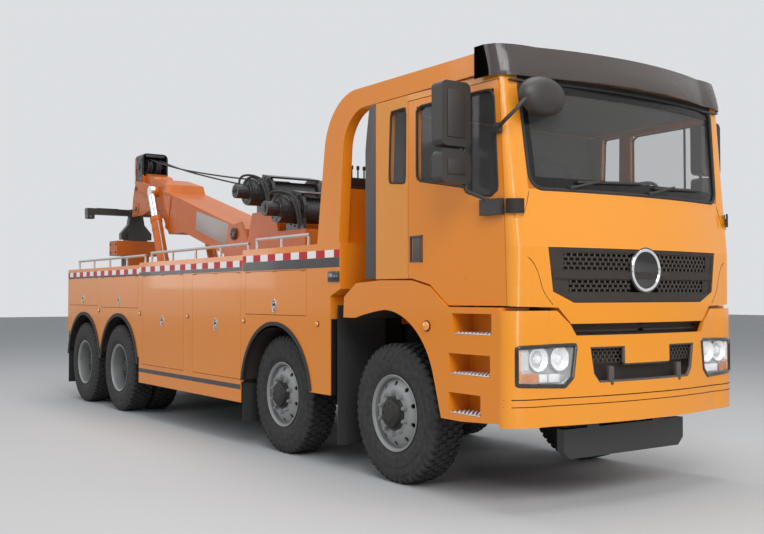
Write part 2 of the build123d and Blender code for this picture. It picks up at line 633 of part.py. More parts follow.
# Bumper: bowed shell with lamp openings, intake and a raised rear corner on each side
BUMPER_NOSE = -FRONT_REACH
BUMPER_SETBACK = 95.0
BUMPER_CORNER = (900.0, 140.0)
BUMPER_REAR = WING_FRONT - SEAT_GAP
BUMPER_T = 35.0
BUMPER_Z = (600.0, 1398.0)
LAMP_OPENING = ((690.0, 1163.0), (1300.0, 1150.0), (1300.0, 890.0), (785.0, 868.0), (720.0, 930.0))
INTAKE = ((-572.0, 1140.0), (-245.0, 1140.0), (-245.0, 1015.0), (245.0, 1015.0), (245.0, 1140.0),
          (572.0, 1140.0), (540.0, 950.0), (490.0, 885.0), (-490.0, 885.0), (-540.0, 950.0))
NOTCH = ((-875.0, 1420.0), (-740.0, 1300.0), (-690.0, 1222.0), (690.0, 1222.0), (740.0, 1300.0), (875.0, 1420.0))


def bumper_band(inset, z0, z1, rear):
    """Upright bowed solid with the bumper's plan, drawn in by inset."""
    with BuildPart(mode=Mode.PRIVATE) as body:
        with BuildSketch(top_plane(z0)) as outline:
            with BuildLine():
                front_band(BUMPER_NOSE, BUMPER_SETBACK, *BUMPER_CORNER, HALF_W, 0, inset, rear + inset)
            make_face()
        extrude(outline.sketch, amount=z1 - z0)
    return body.part


def mirrored_outline(points):
    """The same front outline on the other side."""
    return tuple((-x, z) for x, z in points)


with BuildPart() as bumper:
    add(bumper_band(0, *BUMPER_Z, BUMPER_REAR))
    add(bumper_band(BUMPER_T, BUMPER_Z[0] - 1, BUMPER_Z[1] + 1, BUMPER_REAR + 50), mode=Mode.SUBTRACT)
    slab_y(NOTCH, -1700, -1300, Mode.SUBTRACT)
    slab_y(INTAKE, -1700, -1400, Mode.SUBTRACT)
    for side in (LAMP_OPENING, mirrored_outline(LAMP_OPENING)):
        slab_y(side, -1700, -1462, Mode.SUBTRACT)
write(bumper.part, "bumper")

# Lamps: headlamp blocks in the bumper and rear clusters on the tail
LAMP_T = 70.0

with BuildPart() as lamps:
    add(bumper_band(5, 700, 1300, BUMPER_REAR + 100))
    add(bumper_band(5 + LAMP_T, 699, 1301, BUMPER_REAR + 200), mode=Mode.SUBTRACT)
    with BuildPart(mode=Mode.PRIVATE) as keep:
        for side in (LAMP_OPENING, mirrored_outline(LAMP_OPENING)):
            slab_y(inset_outline(side, SEAT_GAP), -1700, -1462 - SEAT_GAP)
    add(keep.part, mode=Mode.INTERSECT)
write(lamps.part, "lamps")


# Step wings: front fender with its liner, and the step module under the door
WING_TOP = ((600.0, 1318.0), (590.0, 1491.0), (406.0, 1606.0), (55.0, 1626.0), (-372.0, 1620.0),
            (-588.0, 1572.0), (-800.0, 1420.0), (WING_FRONT, 1420.0), (WING_FRONT, 624.0), (-960.0, 602.0),
            (-730.0, 604.0))
WING_SKIN = 30.0
LINER_IN = 640.0
STEP_IN = 960.0
STEPS = ((1225.0, -1290.0, -860.0), (935.0, -1274.0, -820.0), (652.0, -1172.0, -819.0))
STEP_ROOM = 150.0
STEP_DEEP = 200.0


def wing_opening(grow):
    """Wheel opening of the fender, as a closed face on the side plane."""
    with BuildSketch(Plane.XY, mode=Mode.PRIVATE) as opening:
        with BuildLine():
            Line((-730 - grow, 500), (-730 - grow, 604))
            Line((-730 - grow, 604), (-640 - grow, 900))
            ThreePointArc((-640 - grow, 900), (-445 - 0.7 * grow, 1215 + 0.7 * grow), (0, 1390 + grow))
            ThreePointArc((0, 1390 + grow), (230, 1358 + grow), (420, 1318 + grow))
            Line((420, 1318 + grow), (700, 1318 + grow))
            Line((700, 1318 + grow), (700, 500))
            Line((700, 500), (-730 - grow, 500))
        make_face()
    return opening.sketch


def on_side(sketch, x):
    """A face drawn flat as (station, height), carried to the side plane at x."""
    return side_plane(x).location * sketch


with BuildPart() as step_wing:
    slab_x(WING_TOP, HALF_W - WING_SKIN, HALF_W)
    slab_x(((-800, 1420), (WING_FRONT, 1420), (WING_FRONT, 624), (-960, 602), (-730, 604), (-640, 900), (-600, 1060)),
           STEP_IN, HALF_W)
    with BuildPart(mode=Mode.PRIVATE) as liner:
        extrude(on_side(wing_opening(WING_SKIN), LINER_IN), amount=HALF_W - LINER_IN - 1)
        block(LINER_IN - 1, HALF_W, -800, 800, 400, 1000, Mode.SUBTRACT)
        block(LINER_IN - 1, HALF_W, 600, 800, 900, 1500, Mode.SUBTRACT)
    add(liner.part)
    extrude(on_side(wing_opening(0), LINER_IN - 1), amount=HALF_W - LINER_IN + 2, mode=Mode.SUBTRACT)
    for z, y0, y1 in STEPS:
        block(HALF_W - STEP_DEEP, HALF_W + 1, y0, y1, z, z + STEP_ROOM, Mode.SUBTRACT)
    block(FRAME_X + SEAT_GAP, STEP_IN, -1060, -940, 960, 1030)
write_pair(step_wing.part, "step_wing")


# Arch behind the cab: two pillars that curve forward into a canopy over the roof, and a bulkhead
PILLAR_W = 95.0
ARCH_BASE_Z = 1960.0
CANOPY_LOW = CAB_ROOF + 6
CANOPY_TOP = CANOPY_LOW + 166
CANOPY_FRONT = -1215.0
CANOPY_T = 30.0
BULKHEAD = (830.0, 1090.0, 2450.0)

with BuildPart() as arch:
    with BuildSketch(side_plane(HALF_W - PILLAR_W)) as outline:
        with BuildLine():
            Polyline((672, ARCH_BASE_Z), (1030, ARCH_BASE_Z), (905, CANOPY_TOP - 432))
            ThreePointArc((905, CANOPY_TOP - 432), (745, CANOPY_TOP - 132), (430, CANOPY_TOP))
            Polyline((430, CANOPY_TOP), (CANOPY_FRONT, CANOPY_TOP - 12), (CANOPY_FRONT, CANOPY_LOW),
                     (280, CANOPY_LOW))
            ThreePointArc((280, CANOPY_LOW), (500, CANOPY_LOW - 91), (605, CANOPY_LOW - 316))
            Line((605, CANOPY_LOW - 316), (672, ARCH_BASE_Z))
        make_face()
    extrude(outline.sketch, amount=PILLAR_W)
    mirror(about=Plane.YZ)
    inner = HALF_W - PILLAR_W
    slab_x(((CANOPY_FRONT, CANOPY_TOP - 12 - CANOPY_T), (CANOPY_FRONT, CANOPY_TOP - 12), (430, CANOPY_TOP),
            (640, CANOPY_TOP - 57), (620, CANOPY_TOP - 87), (425, CANOPY_TOP - CANOPY_T)), -inner, inner)
    slab_x(((CANOPY_FRONT, CANOPY_LOW), (CANOPY_FRONT, CANOPY_TOP - 12), (CANOPY_FRONT + CANOPY_T, CANOPY_TOP - 12),
            (CANOPY_FRONT + CANOPY_T, CANOPY_LOW)), -inner, inner)
    y0, y1, top = BULKHEAD
    slab_y(((-inner, ARCH_BASE_Z), (-inner, top), (inner, top), (inner, ARCH_BASE_Z),
            (LOCKER_IN - 10, ARCH_BASE_Z), (LOCKER_IN - 10, DECK_Z + DECK_PLATE),
            (-LOCKER_IN + 10, DECK_Z + DECK_PLATE), (-LOCKER_IN + 10, ARCH_BASE_Z)), y0, y1)
    block(-inner + 20, inner - 20, y0 + 20, y1 - 20, ARCH_BASE_Z + 20, top - 20, Mode.SUBTRACT)
write(arch.part, "arch")


# Locker body: side modules hollowed into bays, cut by the wheel arches and joined by the deck
SECTIONS = (  # first station, last station, bottom, top
    (810.0, 2480.0, 640.0, 1960.0),
    (2480.0, 5315.0, 425.0, 1912.0),
    (5315.0, 8190.0, 740.0, 1885.0),
)
DOORS = (  # first station, last station, bottom, top, bay's first and last station, bay floor
    (1222.0, 2416.0, 1322.0, 1735.0, 840.0, 2450.0, 1300.0),
    (2522.0, 3700.0, 660.0, 1740.0, 2547.0, 3810.0, 640.0),
    (3950.0, 5200.0, 660.0, 1745.0, 3840.0, 5220.0, 640.0),
    (5360.0, 6740.0, 1350.0, 1750.0, 5347.0, 6790.0, 1320.0),
    (6868.0, 8140.0, 1370.0, 1750.0, 6820.0, 8160.0, 1340.0),
)
ARCHES = ((AXLE_2 - 15.0, ARCH_2_R), (AXLE_3 - 20.0, ARCH_REAR_R), (AXLE_4 - 4.0, ARCH_REAR_R))
LOCKER_GAP = 5.0
APRON_TOP = 620.0
SKIRT_FRONT = 2517.0
SKIRT_TOP = 636.0
WALL_IN = 20.0
NOSE_STEP = (650.0, 1500.0, 1560.0)
TAIL_LOW = 985.0
LATCH = (35.0, 58.0, 8.0)
HINGE_RAIL = 24.0

with BuildPart() as module:
    for index, (y0, y1, low, top) in enumerate(SECTIONS):
        block(LOCKER_IN, HALF_W, y0, y1, low, top)
    nose_y, step_low, step_high = NOSE_STEP
    first = SECTIONS[0]
    slab_x(((first[0], step_low), (nose_y, step_high), (nose_y, first[3]), (first[0], first[3])),
           LOCKER_IN, HALF_W)
    for station, radius in ARCHES:
        across(LOCKER_IN - 1, HALF_W + 1, station, WHEEL_Z, radius, Mode.SUBTRACT)
    last = SECTIONS[-1]
    slab_x(((last[1] + 1, TAIL_LOW), (8110, TAIL_LOW), (8095, 600), (last[1] + 1, 600)),
           LOCKER_IN - 1, HALF_W + 1, Mode.SUBTRACT)
    block(LOCKER_IN - 1, 560, last[0] - 60, last[1] + 1, 600, 880, Mode.SUBTRACT)
    for (y0, y1, z0, z1, bay0, bay1, floor), section in zip(DOORS, (0, 1, 1, 2, 2)):
        block(LOCKER_IN + WALL_IN, HALF_W - SKIN, bay0, bay1, floor, SECTIONS[section][3] - SKIN,
              Mode.SUBTRACT)
        block(HALF_W - SKIN - 1, HALF_W + 1, y0 - LOCKER_GAP, y1 + LOCKER_GAP, z0 - LOCKER_GAP,
              z1 + LOCKER_GAP, Mode.SUBTRACT)
    middle = SECTIONS[1]
    block(LOCKER_IN + SKIN, HALF_W - SKIN, middle[0] + SKIN, middle[1] - SKIN, middle[2] - 1, APRON_TOP,
          Mode.SUBTRACT)
    block(LOCKER_IN - 1, HALF_W + 1, middle[0] - 1, SKIRT_FRONT, middle[2] - 1, SKIRT_TOP, Mode.SUBTRACT)

    for y0, y1, z0, z1, bay0, bay1, floor in DOORS:
        hinge_in = HALF_W - SKIN - HINGE_RAIL
        block(hinge_in, HALF_W - SKIN - SEAT_GAP, y0, y1, z1 - HINGE_RAIL, z1 + HINGE_RAIL)
        block(hinge_in, HALF_W - SKIN / 2, y0, y1, z1 + LOCKER_GAP, z1 + HINGE_RAIL)

with BuildPart() as locker_body:
    add(module.part)
    mirror(about=Plane.YZ)
    block(-LOCKER_IN, LOCKER_IN, SECTIONS[0][0] + 10, SECTIONS[-1][1], DECK_Z, DECK_Z + DECK_PLATE)
    block(-LOCKER_IN, LOCKER_IN, SECTIONS[-1][1] - SKIN, SECTIONS[-1][1], DECK_Z, 1560)
write(locker_body.part, "locker_body")

# Locker doors: flush flaps with a pocket for the latch
for index, (y0, y1, z0, z1, bay0, bay1, floor) in enumerate(DOORS):
    with BuildPart() as flap:
        block(HALF_W - SKIN, HALF_W, y0, y1, z0, z1)
        mid = (y0 + y1) / 2
        latch_z = z0 + 85 if z1 - z0 < 600 else (z0 + z1) / 2
        half_w, half_h, deep = LATCH
        block(HALF_W - deep, HALF_W + 1, mid - half_w, mid + half_w, latch_z - half_h, latch_z + half_h,
              Mode.SUBTRACT)
    write_pair(flap.part, f"locker_door_{index + 1}")


# Mudguards: black rubber trims round the arches and the flaps
TRIM_W = (35.0, 45.0, 45.0)
TRIM_LOW = 650.0
FLAPS = (  # station, inner x, outer x, bottom, top
    (752.0, 700.0, 1200.0, 215.0, 1420.0),
    (SKIRT_FRONT - 12 - SEAT_GAP, 850.0, 1225.0, 232.0, SKIRT_TOP - 2),
    (8190.0 + SEAT_GAP, 590.0, 1225.0, 225.0, 1000.0),
)
FLAP_T = 12.0

with BuildPart() as mudguards:
    for group in (ARCHES[:1], ARCHES[1:]):
        widths = TRIM_W[:1] if len(group) == 1 else TRIM_W[1:]
        with BuildSketch(side_plane(HALF_W + SEAT_GAP)) as rings:
            for (station, radius), width in zip(group, widths):
                with Locations((station, WHEEL_Z)):
                    Circle(radius + width)
            for (station, radius), width in zip(group, widths):
                with Locations((station, WHEEL_Z)):
                    Circle(radius, mode=Mode.SUBTRACT)
            with Locations((ARCHES[1][0], TRIM_LOW - 900)):
                Rectangle(20000, 1800, mode=Mode.SUBTRACT)
        extrude(rings.sketch, amount=TRIM_T)
    for station, x0, x1, low, top in FLAPS:
        block(x0, x1, station, station + FLAP_T, low, top)
    block(FRAME_X + SEAT_GAP, 720, FLAPS[0][0], FLAPS[0][0] + FLAP_T, 900, 1000)
    mirror(about=Plane.YZ)
write(mudguards.part, "mudguards")


# Rails along the tops of the lockers
RAIL_X = 1150.0
RAIL_R = 15.0
RAILS = (  # first station, last station, foot, height of the tube, posts
    (1317.0, 2364.0, 1960.0, 2062.0, 3),
    (2520.0, 5154.0, 1912.0, 2030.0, 5),
    (5335.0, 7971.0, 1885.0, 2008.0, 5),
)

with BuildPart() as rails:
    for y0, y1, foot, height, posts in RAILS:
        for index in range(posts):
            y = y0 + RAIL_R + (y1 - y0 - 2 * RAIL_R) * index / (posts - 1)
            block(RAIL_X - 11, RAIL_X + 11, y - 11, y + 11, foot + SEAT_GAP, height)
        with BuildSketch(front_plane(y1)) as tube:
            with Locations((RAIL_X, height)):
                RegularPolygon(RAIL_R, 8, major_radius=False, rotation=22.5)
        extrude(tube.sketch, amount=y1 - y0)
    mirror(about=Plane.YZ)
write(rails.part, "rails")


# Recovery base: boom and winch stand, ram feet and the tail that carries the underlift
DECK_TOP = DECK_Z + DECK_PLATE
STAND_X = (345.0, 375.0)
STAND = ((2720.0, DECK_TOP), (4980.0, DECK_TOP), (4600.0, 2360.0), (4260.0, 2400.0), (4080.0, 2150.0),
         (3960.0, 2480.0), (3400.0, 2480.0), (3330.0, 2230.0), (2720.0, 2230.0))
PIVOT_PIN_R = 48.0
BOOM_SIDE_GAP = 6.0
RAM_EAR = (35.0, 28.0)
RAM_PIN_R = 32.0
RAM_EYE = 60.0
TAIL_X = 205.0
TAIL_T = 35.0
UL_PIN_R = 45.0

with BuildPart() as recovery_base:
    for sign in (-1, 1):
        x0, x1 = sorted((sign * STAND_X[0], sign * STAND_X[1]))
        slab_x(STAND, x0, x1)
        for side in (-1, 1):
            near = sign * RAM_X + side * (RAM_EYE / 2 + BOOM_SIDE_GAP)
            far = near + side * 22
            slab_x(((RAM_BASE[0] - 110, DECK_TOP), (RAM_BASE[0] + 110, DECK_TOP),
                    (RAM_BASE[0] + 50, RAM_BASE[1] + 50), (RAM_BASE[0] - 50, RAM_BASE[1] + 50)),
                   min(near, far), max(near, far))
        across(sign * RAM_X - 45, sign * RAM_X + 45, *RAM_BASE, RAM_PIN_R)
        t0, t1 = sorted((sign * TAIL_X, sign * (TAIL_X + TAIL_T)))
        slab_x(((8200, 1150), (8200, 640), (8640, 640), (8640, 860), (8420, 1150)), t0, t1)
    for y, low, high in ((2740, DECK_TOP, 2230), (3400, 1900, 2470)):
        block(-STAND_X[0], STAND_X[0], y, y + 20, low, high)
    block(-STAND_X[0], STAND_X[0], 3400, 3960, 2460, 2480)
    block(-STAND_X[0], STAND_X[0], 2760, 3330, 2210, 2230)
    block(-STAND_X[0], STAND_X[0], 4900, 4920, DECK_TOP, 1500)
    across(-STAND_X[1] - 15, STAND_X[1] + 15, *PIVOT, PIVOT_PIN_R)
    block(-FRAME_X, FRAME_X, FRAME_REAR + SEAT_GAP, 8200, 640, 1150)
    across(-TAIL_X - TAIL_T - 15, TAIL_X + TAIL_T + 15, *UL_PIVOT, UL_PIN_R)
write(recovery_base.part, "recovery_base")


# Winches: drum between flanges, gearbox on one end and motor on the other, under a guard
WINCHES = ((3740.0, 2705.0), (3030.0, 2455.0))
WINCH_HALF = 560.0
WINCH_R = 205.0
WINCH_SIDES = 16

with BuildPart() as winches:
    for station, height in WINCHES:
        for x0, x1, radius in ((-WINCH_HALF, -330, 150), (-330, -290, WINCH_R), (-290, 290, 120),
                               (290, 330, WINCH_R), (330, WINCH_HALF, WINCH_R - 15),
                               (-WINCH_HALF - 150, -WINCH_HALF, 80)):
            plane = Plane(origin=(x0, FRONT_AXLE_Y + station, height), x_dir=(0, 1, 0), z_dir=(1, 0, 0))
            with BuildSketch(plane) as ring:
                RegularPolygon(radius, WINCH_SIDES, major_radius=False, rotation=180 / WINCH_SIDES)
            extrude(ring.sketch, amount=x1 - x0)
        slab_x(((station - 190, height - 225 + SEAT_GAP), (station + 190, height - 225 + SEAT_GAP),
                (station + 190, height - 100), (station - 190, height - 100)), -330, -290)
        slab_x(((station - 190, height - 225 + SEAT_GAP), (station + 190, height - 225 + SEAT_GAP),
                (station + 190, height - 100), (station - 190, height - 100)), 290, 330)
        slab_x(((station - 150, height + 160), (station + 60, height + 205), (station + 60, height + 225),
                (station - 160, height + 180)), -330, 330)
write(winches.part, "winches")


# Boom: drawn along its own axis from the pivot, then tilted
def on_boom(along, up):
    """Station and height of a point given along the boom and square to it."""
    a = radians(BOOM_TILT)
    return (PIVOT[0] + along * cos(a) - up * sin(a), PIVOT[1] + along * sin(a) + up * cos(a))


def boom_slab(points, x0, x1, mode=Mode.ADD):
    """Outline of (along, up) points between two x."""
    slab_x([on_boom(*point) for point in points], x0, x1, mode)


TUBE_HALF = 215.0
TUBE_UP = (-165.0, 42.0)
SLIDE_GAP = 7.0
BOOM_END = 3100.0
BOOM_BOTTOM = ((BOOM_END, -225.0), (2568.0, -232.0), (2186.0, -488.0), (1680.0, -347.0), (260.0, -345.0),
               (-60.0, -250.0), (-125.0, -120.0), (-95.0, 10.0))
BOOM_TOP = 72.0
HOOD = ((2440.0, BOOM_TOP), (2540.0, 170.0), (BOOM_END, 150.0))
TUBE_START = 450.0
EYE_R = 80.0
BARREL_L = 1390.0
ROD_IN = 422.0
ROD_GAP = 0.6
RAM_L = hypot(on_boom(BOOM_EYE, 12)[0] - RAM_BASE[0], on_boom(BOOM_EYE, 12)[1] - RAM_BASE[1])

with BuildPart() as boom:
    boom_slab(((-40.0, BOOM_TOP),) + HOOD + BOOM_BOTTOM, -BOOM_HALF, BOOM_HALF)
    low, high = TUBE_UP[0] - SLIDE_GAP, TUBE_UP[1] + SLIDE_GAP
    wide = TUBE_HALF + SLIDE_GAP
    boom_slab(((TUBE_START, low), (TUBE_START, high), (BOOM_END + 10, high), (BOOM_END + 10, low)),
              -wide, wide, Mode.SUBTRACT)
    across(-BOOM_HALF - 1, BOOM_HALF + 1, *PIVOT, PIVOT_PIN_R + PIN_GAP, Mode.SUBTRACT)
    for sign in (-1, 1):
        boss_end = sign * (RAM_X - RAM_EYE / 2 - BOOM_SIDE_GAP)
        across(sign * BOOM_HALF, boss_end, *on_boom(BOOM_EYE, 12), EYE_R - 5)
write(boom.part, "boom")

NOSE_HALF = 228.0
INNER_PAD = 120.0
NOSE = ((BOOM_END + 15, 45.0), (3570.0, 25.0), (3864.0, -15.0), (3900.0, -195.0), (3906.0, -323.0),
        (3868.0, -580.0), (3466.0, -472.0), (3203.0, -357.0), (BOOM_END + 15, -300.0))
NOSE_WALL = 30.0
WEDGE = ((3150.0, 20.0), (3368.0, 149.0), (3700.0, 140.0), (3880.0, 75.0), (3880.0, -40.0), (3150.0, -40.0))
WEDGE_HALF = 150.0
HEAD_Y = (7935.0, 8231.0)
HEAD_Z = (3190.0, 3696.0)
HEAD_HALF = 205.0
HEAD_WALL = 25.0
SHEAVE = (8075.0, 3500.0, 130.0)

with BuildPart() as boom_inner:
    boom_slab(((TUBE_START + 60, TUBE_UP[0]), (TUBE_START + 60, TUBE_UP[1]), (NOSE[0][0] + 5, TUBE_UP[1]),
               (NOSE[0][0] + 5, TUBE_UP[0])), -TUBE_HALF, TUBE_HALF)
    low, high = TUBE_UP[0] - SLIDE_GAP + SEAT_GAP, TUBE_UP[1] + SLIDE_GAP - SEAT_GAP
    boom_slab(((TUBE_START + 70, low), (TUBE_START + 70, high), (TUBE_START + 70 + INNER_PAD, high),
               (TUBE_START + 70 + INNER_PAD, low)), -TUBE_HALF, TUBE_HALF)
    boom_slab(((TUBE_START + 59, TUBE_UP[0] + 14), (TUBE_START + 59, TUBE_UP[1] - 14),
               (NOSE[0][0], TUBE_UP[1] - 14), (NOSE[0][0], TUBE_UP[0] + 14)),
              -TUBE_HALF + 14, TUBE_HALF - 14, Mode.SUBTRACT)
    boom_slab(NOSE, -NOSE_HALF, NOSE_HALF)
    hollow = NOSE_HALF - NOSE_WALL
    boom_slab(((BOOM_END + 40, -650), (BOOM_END + 40, 150), (3950, 150), (3950, -650)), -hollow, hollow,
              Mode.SUBTRACT)
    boom_slab(((3190, -345), (3190, -325), (3470, -440), (3470, -460)), -hollow, hollow)
    boom_slab(WEDGE, -WEDGE_HALF, WEDGE_HALF)
    boom_slab(((3140, -40), (3140, -20), (3880, -20), (3880, -40)), -hollow, hollow)
    with BuildPart(mode=Mode.PRIVATE) as hood:
        block(-HEAD_HALF, HEAD_HALF, *HEAD_Y, *HEAD_Z)
        tops = hood.faces().sort_by(Axis.Z)[-1].edges().filter_by(Axis.Y)
        fillet(tops, 70)
    add(hood.part)
    block(-HEAD_HALF + HEAD_WALL, HEAD_HALF - HEAD_WALL, HEAD_Y[0] - 1, HEAD_Y[1] - HEAD_WALL,
          SHEAVE[1] - SHEAVE[2] - HEAD_WALL, HEAD_Z[1] - HEAD_WALL, Mode.SUBTRACT)
    across(-HEAD_HALF, HEAD_HALF, SHEAVE[0], SHEAVE[1], 30)
    for x in (-70, 70):
        across(x - 30, x + 30, *SHEAVE)
write(boom_inner.part, "boom_inner")

# Lift rams: barrels on the deck feet and rods whose eyes run beside the boom's bosses
ram_dir = Vector(0, on_boom(BOOM_EYE, 12)[0] - RAM_BASE[0], on_boom(BOOM_EYE, 12)[1] - RAM_BASE[1]).normalized()


def on_ram(x, along):
    """Point along the ram's axis from its foot."""
    return (x, RAM_BASE[0] + ram_dir.Y * along, RAM_BASE[1] + ram_dir.Z * along)


with BuildPart() as ram_barrels:
    for x in (-RAM_X, RAM_X):
        rod(on_ram(x, 0), on_ram(x, BARREL_L), RAM_R)
        across(x - RAM_EYE / 2, x + RAM_EYE / 2, *RAM_BASE, 62)
        block(x - RAM_R - 2, x - RAM_EYE / 2, RAM_BASE[0] - 90, RAM_BASE[0] + 90, RAM_BASE[1] - 90,
              RAM_BASE[1] + 90, Mode.SUBTRACT)
        block(x + RAM_EYE / 2, x + RAM_R + 2, RAM_BASE[0] - 90, RAM_BASE[0] + 90, RAM_BASE[1] - 90,
              RAM_BASE[1] + 90, Mode.SUBTRACT)
        across(x - 60, x + 60, *RAM_BASE, RAM_PIN_R + PIN_GAP, Mode.SUBTRACT)
        rod(on_ram(x, 84), on_ram(x, BARREL_L + 1), ROD_R + ROD_GAP, Mode.SUBTRACT)
write(ram_barrels.part, "ram_barrels")

with BuildPart() as ram_rods:
    for x in (-RAM_X, RAM_X):
        rod(on_ram(x, ROD_IN), on_ram(x, RAM_L - EYE_R - 8), ROD_R)
        rod(on_ram(x, RAM_L - EYE_R - 10), on_ram(x, RAM_L - 20), RAM_EYE / 2 - 2)
        across(x - RAM_EYE / 2, x + RAM_EYE / 2, *on_ram(x, RAM_L)[1:], EYE_R)
write(ram_rods.part, "ram_rods")


# Underlift, folded upright behind the tail: arm, sliding inner box and swivelling crossbar
ARM_HALF = 180.0
ARM_Y = (8620.0, 8900.0)
ARM_Z = (700.0, 2240.0)
COLLAR_HALF = 360.0
COLLAR = (8600.0, 8945.0, 2140.0, 2374.0)
ARM_WALL = 16.0
SLIDER_GAP = 6.0
SLIDER_LOW = 1000.0
PAD_L = 120.0
BLOCK_HALF = 250.0
TONGUE = (90.0, 8700.0, 8812.0, 2888.0)
CROSS_PIN = (0.0, 2840.0)
CROSS_PIN_R = 32.0
CROSS_HALF = 760.0
CROSS_Y = (8820.0, REAR_REACH)
CROSS_Z = (2792.0, 2888.0)
SOCKET_IN = 60.0
SOCKET_Z = 2770.0
SOCKET_R = 25.0

with BuildPart() as underlift_arm:
    block(-ARM_HALF, ARM_HALF, *ARM_Y, *ARM_Z)
    block(-COLLAR_HALF, COLLAR_HALF, *COLLAR)
    slab_x(((8500, 700), (8620, 640), (8900, 700), (8900, 1000), (8620, 1060), (8500, 830)), -ARM_HALF, ARM_HALF)
    block(-ARM_HALF + ARM_WALL, ARM_HALF - ARM_WALL, ARM_Y[0] + ARM_WALL, ARM_Y[1] - ARM_WALL,
          SLIDER_LOW - 20, COLLAR[3] + 1, Mode.SUBTRACT)
    across(-ARM_HALF - 1, ARM_HALF + 1, *UL_PIVOT, UL_PIN_R + PIN_GAP, Mode.SUBTRACT)
write(underlift_arm.part, "underlift_arm")

with BuildPart() as underlift_slider:
    wall = ARM_WALL + SLIDER_GAP
    block(-ARM_HALF + wall, ARM_HALF - wall, ARM_Y[0] + wall, ARM_Y[1] - wall, SLIDER_LOW, 2500)
    pad = ARM_WALL + SEAT_GAP
    block(-ARM_HALF + pad, ARM_HALF - pad, ARM_Y[0] + pad, ARM_Y[1] - pad, SLIDER_LOW, SLIDER_LOW + PAD_L)
    slab_y(((-BLOCK_HALF, 2400), (BLOCK_HALF, 2400), (BLOCK_HALF, 2500), (130, 2640), (TONGUE[0], TONGUE[3]),
            (-TONGUE[0], TONGUE[3]), (-130, 2640), (-BLOCK_HALF, 2500)), TONGUE[1], TONGUE[2])
    rod((CROSS_PIN[0], TONGUE[2], CROSS_PIN[1]), (CROSS_PIN[0], CROSS_Y[1] - 10, CROSS_PIN[1]), CROSS_PIN_R)
write(underlift_slider.part, "underlift_slider")

with BuildPart() as underlift_crossbar:
    block(-CROSS_HALF, CROSS_HALF, *CROSS_Y, *CROSS_Z)
    for sign in (-1, 1):
        socket = sign * (CROSS_HALF - SOCKET_IN)
        block(socket - 55, socket + 55, *CROSS_Y, CROSS_Z[0] - 70, CROSS_Z[1])
        rod((socket, CROSS_Y[0] - 1, SOCKET_Z), (socket, CROSS_Y[1] + 1, SOCKET_Z), SOCKET_R, Mode.SUBTRACT)
    rod((CROSS_PIN[0], CROSS_Y[0] - 1, CROSS_PIN[1]), (CROSS_PIN[0], CROSS_Y[1] + 1, CROSS_PIN[1]),
        CROSS_PIN_R + PIN_GAP, Mode.SUBTRACT)
write(underlift_crossbar.part, "underlift_crossbar")
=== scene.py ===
# %% [markdown]
# # A heavy recovery truck, dressed over its CAD frame
#
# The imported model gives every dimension: panels, doors, boom, underlift and running gear. This script
# leaves all of that where it is and adds what a camera sees on top of it: block treads, pierced rims,
# lamps, meshes, tapes, latches, ropes and hoses, and a procedural material for every surface.
# Sizes are written in millimetres as they would be on a drawing: x across the truck, the station
# behind the front axle, and the height above the ground. One matrix turns them into metres.

# %% Load the frame
import json
from math import cos, pi, radians, sin

import bmesh
import bpy
from mathutils import Matrix, Vector


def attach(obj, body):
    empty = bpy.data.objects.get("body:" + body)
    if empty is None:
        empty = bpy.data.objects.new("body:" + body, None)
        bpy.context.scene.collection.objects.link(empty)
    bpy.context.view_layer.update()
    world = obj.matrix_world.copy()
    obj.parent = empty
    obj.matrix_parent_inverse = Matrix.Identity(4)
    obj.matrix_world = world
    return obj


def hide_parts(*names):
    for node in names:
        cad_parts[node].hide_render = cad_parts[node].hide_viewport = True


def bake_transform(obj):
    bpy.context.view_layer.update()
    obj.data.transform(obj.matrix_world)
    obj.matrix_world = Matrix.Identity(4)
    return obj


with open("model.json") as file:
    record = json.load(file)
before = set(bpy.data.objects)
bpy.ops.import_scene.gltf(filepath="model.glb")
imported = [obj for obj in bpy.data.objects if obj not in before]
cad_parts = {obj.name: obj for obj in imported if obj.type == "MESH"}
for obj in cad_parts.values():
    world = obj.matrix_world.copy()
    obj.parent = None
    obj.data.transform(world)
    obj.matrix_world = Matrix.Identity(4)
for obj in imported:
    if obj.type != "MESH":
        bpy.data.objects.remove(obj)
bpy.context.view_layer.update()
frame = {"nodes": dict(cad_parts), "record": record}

# %% [markdown]
# ## Drawing helpers
#
# A piece is built as a bmesh in drawing millimetres with Blender's own operators: cubes and cylinders
# that are bevelled, outlines that are extruded, and profiles that are spun. `finish_piece` turns it
# into an object of the row frame, gives it a finish and hangs it on the CAD body that carries it.

# %% Placing and finishing a piece
FRONT_AXLE = 3674  # millimetres from the row frame's origin, forwards
MM = 0.001
TO_ROW = Matrix.Translation((0, -FRONT_AXLE * MM, 0)) @ Matrix.Scale(MM, 4)
SIDES = (("left", 1), ("right", -1))
SIGNS = (-1, 1)


def finish_piece(name, bm, material, body="truck", angle=32):
    """Object of the row frame from a bmesh in drawing millimetres; a body of None leaves it unattached."""
    bmesh.ops.transform(bm, matrix=TO_ROW, verts=bm.verts)
    bmesh.ops.recalc_face_normals(bm, faces=bm.faces)
    mesh = bpy.data.meshes.new(name)
    bm.to_mesh(mesh)
    bm.free()
    mesh.shade_smooth()
    mesh.set_sharp_from_angle(angle=radians(angle))
    mesh.materials.append(material)
    obj = bpy.data.objects.new(name, mesh)
    bpy.context.collection.objects.link(obj)
    if body:
        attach(obj, body)
    return obj


def once(items):
    """Each item once, in the order of its first place."""
    return list(dict.fromkeys(items))


